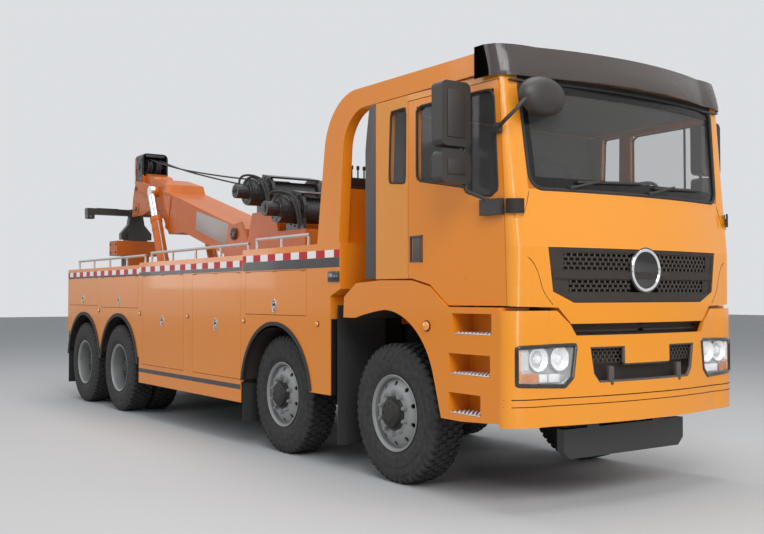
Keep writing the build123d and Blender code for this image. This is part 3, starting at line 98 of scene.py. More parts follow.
def round_off(bm, elements, width, segments=2):
    """Bevels the edges of faces or corners by a width in millimetres."""
    links = [edge for item in elements
             for edge in (item.edges if isinstance(item, bmesh.types.BMFace) else item.link_edges)]
    bmesh.ops.bevel(bm, geom=once(links), offset=width, segments=segments, profile=0.5,
                    affect="EDGES", material=-1, clamp_overlap=True)


def box(bm, x0, x1, y0, y1, z0, z1, bevel=0.0, segments=2):
    """Box between two x, two stations and two heights, its edges rounded off."""
    verts = bmesh.ops.create_cube(bm, size=1)["verts"]
    size = (abs(x1 - x0), abs(y1 - y0), abs(z1 - z0))
    bmesh.ops.scale(bm, vec=size, verts=verts)
    bmesh.ops.translate(bm, vec=((x0 + x1) / 2, (y0 + y1) / 2, (z0 + z1) / 2), verts=verts)
    if bevel:
        round_off(bm, verts, bevel, segments)


def bar(bm, start, end, radius, sides=16, bevel=0.0, end_radius=None):
    """Round bar or cone between two (x, station, height) points."""
    a, b = Vector(start), Vector(end)
    turn = (b - a).to_track_quat("Z", "Y").to_matrix().to_4x4()
    verts = bmesh.ops.create_cone(
        bm, cap_ends=True, segments=sides, radius1=radius,
        radius2=radius if end_radius is None else end_radius, depth=(b - a).length,
        matrix=Matrix.Translation((a + b) / 2) @ turn)["verts"]
    if bevel:
        faces = once(face for vert in verts for face in vert.link_faces)
        round_off(bm, [face for face in faces if len(face.verts) > 4], bevel)


def plate(bm, points, direction, bevel=0.0):
    """Outline of (x, station, height) points, extruded by a vector."""
    face = bm.faces.new([bm.verts.new(point) for point in points])
    grown = bmesh.ops.extrude_face_region(bm, geom=[face])["geom"]
    moved = [item for item in grown if isinstance(item, bmesh.types.BMVert)]
    bmesh.ops.translate(bm, vec=direction, verts=moved)
    if bevel:
        round_off(bm, [side for vert in moved for side in vert.link_faces] + [face], bevel)


def side_plate(bm, points, x0, x1, bevel=0.0):
    """Outline of (station, height) points between two x."""
    plate(bm, [(x0, y, z) for y, z in points], (x1 - x0, 0, 0), bevel)


def front_plate(bm, points, y0, y1, bevel=0.0):
    """Outline of (x, height) points between two stations."""
    plate(bm, [(x, y0, z) for x, z in points], (0, y1 - y0, 0), bevel)


def both_sides(bm):
    """Adds the mirror image of everything in the bmesh, across the truck's middle."""
    geom = bm.verts[:] + bm.edges[:] + bm.faces[:]
    copy = bmesh.ops.duplicate(bm, geom=geom)["geom"]
    verts = [item for item in copy if isinstance(item, bmesh.types.BMVert)]
    bmesh.ops.scale(bm, vec=(-1, 1, 1), verts=verts)


def spread(a, b, count):
    """Evenly spaced values from a to b."""
    return [a + (b - a) * i / (count - 1) for i in range(count)]


print("Helpers ready")

# %% [markdown]
# ## Materials
#
# Each finish is a small node tree on the Principled shader. Patterns that need a place, such as the
# reflective tape's squares, read the object coordinates, which every piece shares with the frame.


# %% A base finish, and noise that roughens or soils it
NOISE_DETAIL = 3.0
RELIEF_DEPTH = 0.002


def finish(name, colour, roughness, metallic=0.0, coat=0.0, specular=0.5):
    """Material with constant values straight on the shader's sockets."""
    material = bpy.data.materials.new(name)
    material.use_nodes = True
    shader = material.node_tree.nodes["Principled BSDF"]
    shader.inputs["Base Color"].default_value = (*colour, 1)
    shader.inputs["Roughness"].default_value = roughness
    shader.inputs["Metallic"].default_value = metallic
    shader.inputs["Coat Weight"].default_value = coat
    shader.inputs["Coat Roughness"].default_value = 0.06
    shader.inputs["Specular IOR Level"].default_value = specular
    return material


def grain(material, scale, low, high, bump=0.0, socket="Roughness"):
    """Noise on one socket between two values, and a fine relief from the same noise."""
    nodes, links = material.node_tree.nodes, material.node_tree.links
    shader = nodes["Principled BSDF"]
    place = nodes.new("ShaderNodeTexCoord")
    noise = nodes.new("ShaderNodeTexNoise")
    noise.inputs["Scale"].default_value = scale
    noise.inputs["Detail"].default_value = NOISE_DETAIL
    links.new(place.outputs["Object"], noise.inputs["Vector"])
    if socket == "Base Color":
        ramp = nodes.new("ShaderNodeValToRGB")
        for stop, position, colour in zip(ramp.color_ramp.elements, (0.35, 0.65), (low, high)):
            stop.position = position
            stop.color = (*colour, 1)
        links.new(noise.outputs["Fac"], ramp.inputs["Fac"])
        links.new(ramp.outputs["Color"], shader.inputs["Base Color"])
    else:
        limits = nodes.new("ShaderNodeMapRange")
        limits.inputs["To Min"].default_value = low
        limits.inputs["To Max"].default_value = high
        links.new(noise.outputs["Fac"], limits.inputs["Value"])
        links.new(limits.outputs["Result"], shader.inputs[socket])
    if bump:
        relief = nodes.new("ShaderNodeBump")
        relief.inputs["Strength"].default_value = bump
        relief.inputs["Distance"].default_value = RELIEF_DEPTH
        links.new(noise.outputs["Fac"], relief.inputs["Height"])
        links.new(relief.outputs["Normal"], shader.inputs["Normal"])
    return material


def see_through(material, alpha):
    """Lets part of the light through a finish."""
    material.node_tree.nodes["Principled BSDF"].inputs["Alpha"].default_value = alpha
    return material


def maths(tree, operation, first, second):
    """Output of a Math node on a socket and a number or a second socket."""
    node = tree.nodes.new("ShaderNodeMath")
    node.operation = operation
    tree.links.new(first, node.inputs[0])
    if isinstance(second, float):
        node.inputs[1].default_value = second
    else:
        tree.links.new(second, node.inputs[1])
    return node.outputs["Value"]


def tint(material, factor, base, other):
    """Base colour that turns from one into another with a socket."""
    tree = material.node_tree
    mix = tree.nodes.new("ShaderNodeMix")
    mix.data_type = "RGBA"
    mix.inputs["A"].default_value = (*base, 1)
    mix.inputs["B"].default_value = (*other, 1)
    tree.links.new(factor, mix.inputs["Factor"])
    tree.links.new(mix.outputs["Result"], tree.nodes["Principled BSDF"].inputs["Base Color"])
    return material


# %% The paints, plastics, rubbers, metals and lenses
ORANGE = (0.77, 0.238, 0.014)
CAB_ORANGE = (0.74, 0.268, 0.017)
# A darker, redder copy of the body's orange for the boom, its base, the rams, the underlift arm and the
# locker hinges; the darkening is painted shade.
SHADED_ORANGE = (0.50, 0.118, 0.012)
# Near-black that paints the shade under the cab and the body.
UNDER_SHADE_BLACK = (0.014, 0.013, 0.012)
paint = grain(finish("amber_paint", ORANGE, 0.3, coat=0.3, specular=0.3), 2.2, 0.24, 0.36)
front_paint = grain(finish("front_paint", CAB_ORANGE, 0.3, coat=0.5, specular=0.3), 2.2, 0.24, 0.36)
shaded_orange_paint = grain(finish("shaded_amber_paint", SHADED_ORANGE, 0.38, coat=0.12, specular=0.25),
                   9.0, 0.32, 0.5, bump=0.06)
black_paint = grain(finish("satin_black", (0.021, 0.021, 0.022), 0.4, coat=0.2), 14.0, 0.32, 0.55, bump=0.05)
plastic = grain(finish("brown_plastic", (0.078, 0.061, 0.053), 0.5), 420.0, 0.42, 0.6, bump=0.12)
dark_plastic = grain(finish("black_plastic", (0.031, 0.026, 0.024), 0.46), 420.0, 0.38, 0.56, bump=0.1)
gloss_plastic = finish("gloss_plastic", (0.021, 0.019, 0.018), 0.16, coat=0.4)
rubber = grain(finish("rubber", (0.022, 0.022, 0.022), 0.72), 60.0, 0.62, 0.85, bump=0.1)
tyre_rubber = grain(finish("tyre_rubber", (0.030, 0.029, 0.029), 0.8, specular=0.35), 24.0,
                    (0.024, 0.024, 0.024), (0.045, 0.043, 0.041), bump=0.15, socket="Base Color")
rim_grey = grain(finish("rim_grey", (0.27, 0.275, 0.275), 0.46, metallic=0.3), 30.0, 0.38, 0.6, bump=0.08)
hub_dark = grain(finish("hub_dark", (0.022, 0.020, 0.018), 0.6, metallic=0.2), 40.0, 0.45, 0.75, bump=0.2)
gear_grey = grain(finish("gear_grey", (0.055, 0.055, 0.058), 0.65, metallic=0.3), 22.0, 0.5, 0.8, bump=0.25)
aluminium = grain(finish("aluminium", (0.62, 0.63, 0.64), 0.38, metallic=0.9), 90.0, 0.3, 0.5, bump=0.08)
steel = grain(finish("brushed_steel", (0.62, 0.62, 0.62), 0.28, metallic=1.0), 120.0, 0.2, 0.36)
chrome = finish("chrome", (0.86, 0.86, 0.87), 0.06, metallic=1.0)
trim = grain(finish("cab_trim_grey", (0.06, 0.058, 0.056), 0.75), 260.0, 0.68, 0.85, bump=0.2)
seat_cloth = grain(finish("seat_cloth", (0.045, 0.045, 0.05), 0.9), 500.0, 0.82, 0.97, bump=0.35)
white_plate = grain(finish("white_plate", (0.38, 0.385, 0.39), 0.42, specular=0.3), 8.0, 0.3, 0.42)
rope_steel = grain(finish("wire_rope", (0.05, 0.05, 0.052), 0.5, metallic=0.7), 700.0, 0.35, 0.65, bump=0.3)
amber_lens = finish("amber_lens", (0.95, 0.32, 0.02), 0.12, coat=1.0)
red_lens = finish("red_lens", (0.55, 0.012, 0.016), 0.12, coat=1.0)
white_lens = finish("white_lens", (0.85, 0.86, 0.88), 0.1, coat=1.0)
silver = grain(finish("silvered", (0.93, 0.94, 0.95), 0.22, metallic=0.2), 60.0, 0.14, 0.26)
clear = see_through(finish("clear_lens", (0.9, 0.92, 0.94), 0.04), 0.14)
glass = see_through(grain(finish("tinted_glass", (0.19, 0.185, 0.18), 0.03, coat=1.0), 4.0, 0.02, 0.05), 0.15)
smoked = grain(finish("smoked_visor", (0.11, 0.093, 0.085), 0.2, coat=0.8), 3.0, 0.15, 0.26)
# Near-black for painted shade: behind the grille and in the latch pockets.
painted_shade_black = grain(finish("painted_shade_black", (0.006, 0.006, 0.006), 0.8), 30.0, 0.75, 0.9)
# Dark finish for lines of painted shade in creases and under a lip.
crease_shade_black = grain(finish("crease_shade_black", (0.010, 0.008, 0.006), 0.7), 30.0, 0.6, 0.8)
print(len(bpy.data.materials), "finishes")

# %% Every CAD node gets its finish
NODE_FINISH = {
    "body_paint": paint, "black_paint": black_paint, "black_plastic": plastic, "tyre_rubber": tyre_rubber,
    "rim_paint": rim_grey, "running_gear": gear_grey, "glass": glass, "trim_dark": trim, "rubber": rubber,
    "stainless": steel, "ram_chrome": chrome, "lens": white_lens}


def paint_with_regions(name, base, other, regions, coat):
    """Paint that changes colour inside regions, each a list of (axis, comparison, limit) tests: painted shade
    under the truck, and the black of the boom's head.
    """
    material = grain(finish(name, base, 0.3, coat=coat, specular=0.3), 2.2, 0.24, 0.38)
    tree = material.node_tree
    nodes, links = tree.nodes, tree.links
    place = nodes.new("ShaderNodeTexCoord")
    fold = nodes.new("ShaderNodeVectorMath")
    fold.operation = "ABSOLUTE"
    links.new(place.outputs["Object"], fold.inputs[0])
    plain, folded = nodes.new("ShaderNodeSeparateXYZ"), nodes.new("ShaderNodeSeparateXYZ")
    links.new(place.outputs["Object"], plain.inputs["Vector"])
    links.new(fold.outputs["Vector"], folded.inputs["Vector"])
    inside = None
    for tests in regions:
        region = None
        for axis, operation, limit in tests:
            source = folded if axis == "X" else plain
            value = maths(tree, operation, source.outputs[axis], limit)
            region = value if region is None else maths(tree, "MULTIPLY", region, value)
        inside = region if inside is None else maths(tree, "MAXIMUM", inside, region)
    return tint(material, inside, base, other)


LESS, MORE = "LESS_THAN", "GREATER_THAN"
# Painted shade: the cab and the locker body turn near-black underneath, and inside below the deck, where
# shade falls.
cab_paint = paint_with_regions("cab_paint", CAB_ORANGE, UNDER_SHADE_BLACK,
                     [[("X", LESS, 1.19), ("Y", MORE, -5.06), ("Z", LESS, 1.46)]], 0.5)
locker_paint = paint_with_regions("locker_paint", ORANGE, UNDER_SHADE_BLACK, [
    [("X", LESS, 1.236), ("Y", MORE, -2.99), ("Y", LESS, 4.43), ("Z", LESS, 1.3)],
    [("X", LESS, 1.1), ("Y", LESS, 4.43), ("Z", LESS, 1.45)]], 0.3)
head_paint = paint_with_regions("boom_and_head", SHADED_ORANGE, (0.012, 0.012, 0.013),
                      [[("Y", MORE, 4.256), ("Z", MORE, 3.36)]], 0.12)
OWN_FINISH = {"boom": shaded_orange_paint, "boom_inner": head_paint, "ram_barrels": shaded_orange_paint, "cab_shell": cab_paint,
              "bumper": front_paint, "locker_body": locker_paint, "recovery_base": shaded_orange_paint,
              "underlift_slider": black_paint, "underlift_arm": shaded_orange_paint, "cab_trim": smoked,
              "mirror_left": dark_plastic, "mirror_right": dark_plastic}
for entry in frame["record"]["subparts"]:
    node = entry["node"]
    target = frame["nodes"][node]
    material = OWN_FINISH.get(node, NODE_FINISH[entry["material_slot"]])
    target.data.materials.clear()
    target.data.materials.append(material)
print(len(frame["nodes"]), "CAD nodes finished")

# %% [markdown]
# ## More ways to make a form
#
# A profile is spun about any axis, a hose follows a smooth curve, a skin is stretched over rows of
# points, and one form is carved out of another with a boolean.


# %% Turned forms, hoses, skins and carving
def turned(bm, profile, centre, axis, steps=48):
    """Closed profile of (along, radius) points spun about an axis through the centre."""
    frames = {"x": ((1, 0, 0), lambda a, r: (a, 0, r)), "y": ((0, 1, 0), lambda a, r: (0, a, r)),
              "z": ((0, 0, 1), lambda a, r: (r, 0, a))}
    direction, place = frames[axis]
    verts = [bm.verts.new(Vector(centre) + Vector(place(a, r))) for a, r in profile]
    edges = [bm.edges.new(pair) for pair in zip(verts, verts[1:] + verts[:1])]
    bmesh.ops.spin(bm, geom=verts + edges, cent=centre, axis=direction, angle=2 * pi, steps=steps,
                   use_merge=True, use_duplicate=False)


def hose(bm, points, radius, order=3, resolution=6):
    """Round tube along a smooth curve through (x, station, height) control points."""
    curve = bpy.data.curves.new("route", "CURVE")
    curve.dimensions = "3D"
    curve.bevel_depth = radius
    curve.bevel_resolution = 3
    curve.use_fill_caps = True
    spline = curve.splines.new("NURBS")
    spline.points.add(len(points) - 1)
    for control, point in zip(spline.points, points):
        control.co = (*point, 1)
    spline.order_u = order
    spline.use_endpoint_u = True
    spline.resolution_u = resolution
    carrier = bpy.data.objects.new("route", curve)
    bpy.context.collection.objects.link(carrier)
    mesh = bpy.data.meshes.new_from_object(carrier.evaluated_get(bpy.context.evaluated_depsgraph_get()))
    bm.from_mesh(mesh)
    bpy.data.objects.remove(carrier)
    bpy.data.curves.remove(curve)
    bpy.data.meshes.remove(mesh)


def skin(bm, rows, thickness):
    """Sheet over rows of points, thickened inwards."""
    grid = [[bm.verts.new(point) for point in row] for row in rows]
    faces = [bm.faces.new((a[i], a[i + 1], b[i + 1], b[i]))
             for a, b in zip(grid, grid[1:]) for i in range(len(a) - 1)]
    bmesh.ops.solidify(bm, geom=faces, thickness=thickness)


def carve(solid, cutter):
    """What is left of one bmesh after another is cut out of it."""
    objects = []
    for bm in (solid, cutter):
        bmesh.ops.recalc_face_normals(bm, faces=bm.faces)
        mesh = bpy.data.meshes.new("carve")
        bm.to_mesh(mesh)
        bm.free()
        objects.append(bpy.data.objects.new("carve", mesh))
        bpy.context.collection.objects.link(objects[-1])
    cut = objects[0].modifiers.new("cut", "BOOLEAN")
    cut.operation = "DIFFERENCE"
    cut.solver = "EXACT"
    cut.object = objects[1]
    mesh = bpy.data.meshes.new_from_object(objects[0].evaluated_get(bpy.context.evaluated_depsgraph_get()))
    left = bmesh.new()
    left.from_mesh(mesh)
    for obj in objects:
        bpy.data.objects.remove(obj)
    bpy.data.meshes.remove(mesh)
    return left


def absorb(bm, other):
    """Moves everything of another bmesh into this one."""
    mesh = bpy.data.meshes.new("absorb")
    other.to_mesh(mesh)
    other.free()
    bm.from_mesh(mesh)
    bpy.data.meshes.remove(mesh)


def ring_of(bm, count, centre, build):
    """Repeats what build() draws, turned about an axis along x through the centre."""
    before = set(bm.verts)
    build()
    geom = [v for v in bm.verts if v not in before]
    faces = once(face for vert in geom for face in vert.link_faces)
    edges = once(edge for vert in geom for edge in vert.link_edges)
    bmesh.ops.spin(bm, geom=geom + edges + faces, cent=centre, axis=(1, 0, 0),
                   angle=2 * pi * (count - 1) / count, steps=count - 1, use_duplicate=True)


# %% [markdown]
# ## Tyres
#
# Each tyre is a spun section with a bulging sidewall and raised rings, and a tread of blocks: two
# shoulder blocks that wrap over the edge, two blocks beside the middle and one on it, staggered by
# half a pitch. One pitch is drawn at the top of the wheel and repeated around it.

# %% One tyre, then all twelve
WHEEL_Z = 560
AXLE = (0, 0, WHEEL_Z)
TYRE_SECTION = [(120, 293.5), (127, 300), (134, 312), (143, 330), (149, 352), (153, 357), (155, 380),
                (157, 408), (157, 430), (153, 436), (153, 462), (150, 488), (146, 493), (141, 516),
                (131, 534), (118, 543), (60, 545.5)]
LUGS = 50
LUG_FOOT, LUG_TOP = 536, 559.3
AXLE_STATIONS = {1: 0, 2: 1830, 3: 6070, 4: 7454}
STEER_X, TWIN_OUTER, TWIN_INNER = 1007, 1083, 743


def tyre_form():
    """A tyre about the origin's axle, its middle plane at x = 0."""
    bm = bmesh.new()
    section = TYRE_SECTION + [(-x, r) for x, r in reversed(TYRE_SECTION)]
    turned(bm, section, AXLE, "x", steps=80)

    def pitch():
        for sign in SIGNS:
            shoulder = [(sign * x, WHEEL_Z + r) for x, r in
                        ((88, 538), (86, LUG_TOP), (122, LUG_TOP - 1), (132, 549), (141, 526), (136, 518))]
            front_plate(bm, shoulder, -19, 19, bevel=2.2)
        box(bm, -26, 26, -21, 21, WHEEL_Z + LUG_FOOT, WHEEL_Z + LUG_TOP, 2.2, 1)

    def half_pitch():
        for sign in SIGNS:
            box(bm, sign * 34, sign * 78, -20, 20, WHEEL_Z + LUG_FOOT, WHEEL_Z + LUG_TOP, 2.2, 1)

    ring_of(bm, LUGS, AXLE, half_pitch)
    bmesh.ops.rotate(bm, verts=bm.verts, cent=AXLE, matrix=Matrix.Rotation(pi / LUGS, 3, "X"))
    ring_of(bm, LUGS, AXLE, pitch)
    return bm


tyre_bm = tyre_form()
tyre_mesh = bpy.data.meshes.new("tyre_form")
tyre_bm.to_mesh(tyre_mesh)
tyre_bm.free()
for number, station in AXLE_STATIONS.items():
    for side, sign in SIDES:
        bm = bmesh.new()
        for centre in ((STEER_X,) if number < 3 else (TWIN_OUTER, TWIN_INNER)):
            bm.from_mesh(tyre_mesh)
            fresh = bm.verts[-len(tyre_mesh.vertices):]
            bmesh.ops.translate(bm, vec=(sign * centre, station, 0), verts=fresh)
        piece = finish_piece(f"tread_{number}_{side}", bm, tyre_rubber, f"wheel_{number}_{side}")
        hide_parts(f"tyre_{number}_{side}")
print("tyre of", len(tyre_mesh.polygons), "faces")

# %% [markdown]
# ## Rims and hubs
#
# The steered wheels carry a disc that bulges outwards, the twins one that is dished deep inwards.
# Ten hand holes are cut through the slope and ten nuts hold the disc to the hub.

# %% Rim forms for the left side, mirrored for the right
RIM_STEPS = 80
NUT_RING = 165


def barrel(bm, centre_x):
    """Rim well with a rolled flange on both edges."""
    half = [(100, 280), (126, 282), (138, 291), (145, 303), (142, 309), (137, 306), (130, 294), (118, 292.4)]
    ring = [(centre_x + x, r) for x, r in half] + [(centre_x - x, r) for x, r in reversed(half)]
    turned(bm, ring, AXLE, "x", RIM_STEPS)


def pierced_disc(points, ring, radius):
    """Dished disc with its hand holes on a ring."""
    disc = bmesh.new()
    turned(disc, points, AXLE, "x", RIM_STEPS)
    holes = bmesh.new()
    xs = [x for x, r in points]

    def hole():
        bar(holes, (min(xs) - 20, 0, WHEEL_Z + ring), (max(xs) + 20, 0, WHEEL_Z + ring), radius, sides=20)

    ring_of(holes, 10, AXLE, hole)
    return carve(disc, holes)


def nuts(bm, face_x):
    """Ten wheel nuts on the disc's face, each with its washer and the end of its stud."""
    def nut():
        z = WHEEL_Z + NUT_RING
        bar(bm, (face_x, 0, z), (face_x + 6, 0, z), 22, sides=16)
        bar(bm, (face_x + 5, 0, z), (face_x + 27, 0, z), 18, sides=6)
        bar(bm, (face_x + 26, 0, z), (face_x + 38, 0, z), 11, sides=10)

    ring_of(bm, 10, AXLE, nut)


def steer_wheel():
    """Rim and hub of a steered wheel."""
    rim = pierced_disc([(1147, 120), (1147, 194), (1141, 212), (1112, 262), (1100, 281), (1086, 281),
                        (1099, 262), (1129, 208), (1134, 192), (1134, 120)], 239, 19)
    barrel(rim, STEER_X)
    nuts(rim, 1147)
    hub = bmesh.new()
    turned(hub, [(1134, 0.5), (1134, 138), (1156, 138), (1162, 132), (1164, 116), (1190, 110), (1198, 98),
                 (1200, 62), (1205, 54), (1205, 0.5)], AXLE, "x", 40)
    ring_of(hub, 8, AXLE,
            lambda: bar(hub, (1194, 0, WHEEL_Z + 82), (1204, 0, WHEEL_Z + 82), 10, sides=6))
    turned(hub, [(925, 62), (925, 196), (932, 205), (1030, 205), (1042, 198), (1050, 140), (1132, 138),
                 (1132, 62)], AXLE, "x", 40)
    return rim, hub


def twin_wheel():
    """Rims and hub of a driven twin wheel."""
    rim = pierced_disc([(927, 120), (927, 186), (932, 196), (992, 256), (1010, 281), (996, 281), (978, 262),
                        (918, 199), (913, 188), (913, 120)], 226, 23)
    barrel(rim, TWIN_OUTER)
    barrel(rim, TWIN_INNER)
    turned(rim, [(912, 120), (912, 188), (838, 281), (824, 281), (899, 186), (899, 120)], AXLE, "x", 40)
    nuts(rim, 927)
    hub = bmesh.new()
    turned(hub, [(914, 0.5), (914, 138), (940, 138), (950, 128), (1104, 122), (1108, 134), (1124, 134),
                 (1128, 100), (1142, 70), (1150, 60), (1150, 0.5)], AXLE, "x", 40)
    ring_of(hub, 12, AXLE,
            lambda: bar(hub, (1122, 0, WHEEL_Z + 118), (1136, 0, WHEEL_Z + 118), 10, sides=6))
    turned(hub, [(655, 73), (655, 198), (662, 205), (796, 205), (808, 198), (818, 140), (898, 138),
                 (898, 73)], AXLE, "x", 40)
    return rim, hub


for numbers, build in (((1, 2), steer_wheel), ((3, 4), twin_wheel)):
    for part_bm, label, material in zip(build(), ("rim_dress", "hub_dress"), (rim_grey, hub_dark)):
        for number in numbers:
            for side, sign in SIDES:
                bm = part_bm.copy()
                bmesh.ops.scale(bm, vec=(sign, 1, 1), verts=bm.verts)
                bmesh.ops.translate(bm, vec=(0, AXLE_STATIONS[number], 0), verts=bm.verts)
                piece = finish_piece(f"{label}_{number}_{side}", bm, material, f"wheel_{number}_{side}")
                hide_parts(f"rim_{number}_{side}")
        part_bm.free()
print("wheels dressed")

# %% [markdown]
# ## The cab's face
#
# The nose, the bumper and the visor are bowed in plan, so the grille, the screen's edges and the
# lamps are laid on the same curves.


# %% Curves of the cab, the bumper and the visor in plan
def bow(x, nose, setback, start_x, depth, half):
    """Station of a bowed front at x: a shallow bow, then an elliptical corner."""
    reach = abs(x)
    if reach <= start_x:
        return nose + setback * (reach / start_x) ** 2
    share = min((reach - start_x) / (half - start_x), 1)
    return nose + setback + depth * (1 - (1 - share * share) ** 0.5)


CAB_ROWS = ((1305, -1590, 108, 1065, 82), (1840, -1600, 112, 1065, 88), (2230, -1565, 115, 1050, 74),
            (3060, -1480, 110, 1020, 47))
CAB_HALF = 1205
BUMPER = (-1612, 95, 900, 140, 1245)


def cab_front(x, z):
    """Station of the cab's skin at a height."""
    for low, high in zip(CAB_ROWS, CAB_ROWS[1:]):
        if z <= high[0] or high is CAB_ROWS[-1]:
            share = (z - low[0]) / (high[0] - low[0])
            row = [a + share * (b - a) for a, b in zip(low[1:], high[1:])]
            return bow(x, *row, CAB_HALF)


def front_panel(bm, edges, surface, offset, thickness, columns=28):
    """Bowed panel between (left x, right x, height) rows, laid on a surface."""
    rows = []
    for x0, x1, z in edges:
        rows.append([(x, surface(x, z) + offset, z) for x in spread(x0, x1, columns)])
    skin(bm, rows, thickness)


def along(outline, count):
    """Points along a closed outline, count to each of its sides."""
    return [tuple(p + (q - p) * i / count for p, q in zip(a, b)) for a, b in zip(outline, outline[1:])
            for i in range(count)] + [outline[0]]


def between(ring, shares):
    """Points at the given shares of each side of a closed outline."""
    return [(a[0] + (b[0] - a[0]) * t, a[1] + (b[1] - a[1]) * t) for a, b in zip(ring, ring[1:])
            for t in shares]


def collar(bm, outline, surface, near, far):
    """Wall that runs inwards from a closed (x, height) outline on a surface."""
    ring = along(outline, 10)
    skin(bm, [[(x, surface(x, z) + offset, z) for x, z in ring] for offset in (near, far)], 4)


# %% Grille: frame
GRILLE_IN = 5
bm = bmesh.new()
front_panel(bm, [(-884, 884, 1526), (-700, 700, 1455)], cab_front, GRILLE_IN, -16)
front_panel(bm, [(-918, 918, 1838), (-905, 905, 1811)], cab_front, GRILLE_IN, -16)
front_panel(bm, [(-889, 889, 1677), (-884, 884, 1622)], cab_front, GRILLE_IN - 6, -16)
for sign in SIGNS:
    front_panel(bm, [(sign * 884, sign * 918, 1838), (sign * 850, sign * 886, 1560),
                     (sign * 830, sign * 876, 1526)], cab_front, GRILLE_IN, -16, columns=4)
    front_panel(bm, [(sign * 870, sign * 880, 1527), (sign * 700, sign * 720, 1453)],
                cab_front, GRILLE_IN, -16, columns=3)
frame_piece = finish_piece("grille_frame", bm, plastic)


# %% Grille: two pierced bands, each (lower, upper height, half width below and above, half mesh width)
def lattice(bm, surface, offset, x0, x1, z0, z1, pitch_x, pitch_z, bar_width):
    """Pierced panel: level bars, and short uprights between them staggered by half a pitch."""
    half = bar_width / 2
    levels = spread(z0, z1, max(1, round((z1 - z0) / pitch_z)) + 1)
    for z in levels:
        front_panel(bm, [(x0, x1, z + half), (x0, x1, z - half)], surface, offset, -6, 24)
    for row, (below, above) in enumerate(zip(levels, levels[1:])):
        for column in range(int((x1 - x0) / pitch_x) + 1):
            x = x0 + pitch_x * (column + 0.5 * (row % 2))
            if x <= x1:
                y = surface(x, below) + offset
                box(bm, x - half, x + half, y + 0.5, y + 6, below, above)


BANDS = ((1488, 1622, 868, 884, 745), (1677, 1811, 889, 905, 790))
CELL_X, CELL_Z, MESH_BAR = 52, 31, 13
BADGE_ROOM = 150
bm = bmesh.new()
for low, high, half_low, half_high, end in BANDS:
    for x0, x1 in ((-end, -BADGE_ROOM), (BADGE_ROOM, end)):
        lattice(bm, cab_front, GRILLE_IN + 8, x0, x1, low + 4, high - 4, CELL_X, CELL_Z, MESH_BAR)
    for sign in SIGNS:
        inner = sign * (end - 4)
        front_panel(bm, [(inner, sign * half_high, high), (inner, sign * half_low, low)], cab_front,
                    GRILLE_IN + 4, -8, 4)
mesh_piece = finish_piece("grille_mesh", bm, plastic)

# %% Near-black sheet of painted shade behind the grille, its collar and the badge
bm = bmesh.new()
front_panel(bm, [(-890, 890, 1830), (-840, 840, 1470)], cab_front, 70, -8)
finish_piece("grille_shade_sheet", bm, painted_shade_black)

bm = bmesh.new()
outline = ((-921, 1840), (-880, 1530), (-700, 1452), (700, 1452), (880, 1530), (921, 1840), (-921, 1840))
collar(bm, outline, cab_front, 4, 78)
finish_piece("grille_collar", bm, plastic)

BADGE_Z, BADGE_R = 1690, 172
badge_y = cab_front(0, BADGE_Z)
bm = bmesh.new()
turned(bm, [(badge_y + 26, 0.5), (badge_y + 26, BADGE_R), (badge_y + 2, BADGE_R), (badge_y - 4, BADGE_R - 8),
            (badge_y + 2, BADGE_R - 34), (badge_y + 2, 0.5)], (0, 0, BADGE_Z), "y", 48)
finish_piece("badge_blank", bm, gloss_plastic)
bm = bmesh.new()
turned(bm, [(badge_y + 24, BADGE_R - 36), (badge_y + 24, BADGE_R - 12), (badge_y - 2, BADGE_R - 12),
            (badge_y - 8, BADGE_R - 18), (badge_y - 8, BADGE_R - 30), (badge_y - 2, BADGE_R - 36)],
       (0, 0, BADGE_Z), "y", 56)
finish_piece("badge_ring", bm, chrome)

# %% Visor, and the upright strips behind the doors
VISOR_ROWS = ((3033, -1585, 150), (3060, -1588, 150), (3150, -1556, 138), (3262, -1500, 120))
VISOR_HALF, VISOR_REAR = 1257, -1130
VISOR_BEND, VISOR_DEPTH = 900, 150


def visor_front(x, nose, setback):
    """Station of the visor's skin at x."""
    return bow(x, nose, setback, VISOR_BEND, VISOR_DEPTH, VISOR_HALF)


bm = bmesh.new()
visor_xs = spread(-VISOR_HALF, -VISOR_BEND, 10) + spread(-850, 850, 18) + spread(VISOR_BEND, VISOR_HALF, 10)
skin(bm, [[(-VISOR_HALF, VISOR_REAR, z)] + [(x, visor_front(x, nose, setback), z) for x in visor_xs]
          + [(VISOR_HALF, VISOR_REAR, z)] for z, nose, setback in VISOR_ROWS], 8)
across = spread(-1190, 1190, 30)
skin(bm, [[(x, visor_front(x, *VISOR_ROWS[0][1:]) + 10, 3036) for x in across],
          [(x, cab_front(x, 3040) - 3, 3042) for x in across]], 5)
visor_piece = finish_piece("sun_visor", bm, smoked)
bm = bmesh.new()
for x in (-1000, -620, -210, 210, 620, 1000):
    y = visor_front(x, *VISOR_ROWS[-1][1:])
    box(bm, x - 22, x + 22, y + 10, y + 150, 3212, 3226, 4)
    box(bm, x - 22, x + 22, y + 140, y + 154, 3064, 3226, 4)
finish_piece("visor_brackets", bm, plastic)
bm = bmesh.new()
side_plate(bm, [(113, 1637), (271, 1637), (271, 2700), (250, 2840), (212, 3050), (113, 3050)], 1212, 1244, 6)
both_sides(bm)
strip_piece = finish_piece("rear_strips", bm, plastic)
for piece in (frame_piece, mesh_piece, visor_piece, strip_piece):
    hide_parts("cab_trim")

# %% Windscreen: rubber edge, painted corners, dark band, and a dark strip of painted shadow under the visor
SCREEN_LOW = (1030, 2245, 105, 1)  # half width, height, corner radius, way to the middle
SCREEN_HIGH = (1066, 3010, 60, -1)


def screen_point(x, z, offset):
    """Point on the windscreen's outer skin."""
    return (x, cab_front(x, z) + offset, z)


def rounded(half, z, radius, up):
    """Quarter circle of (x, height) points in a corner of the screen."""
    return [(half - radius + radius * sin(a), z + up * (radius - radius * cos(a)))
            for a in spread(0, pi / 2, 8)]


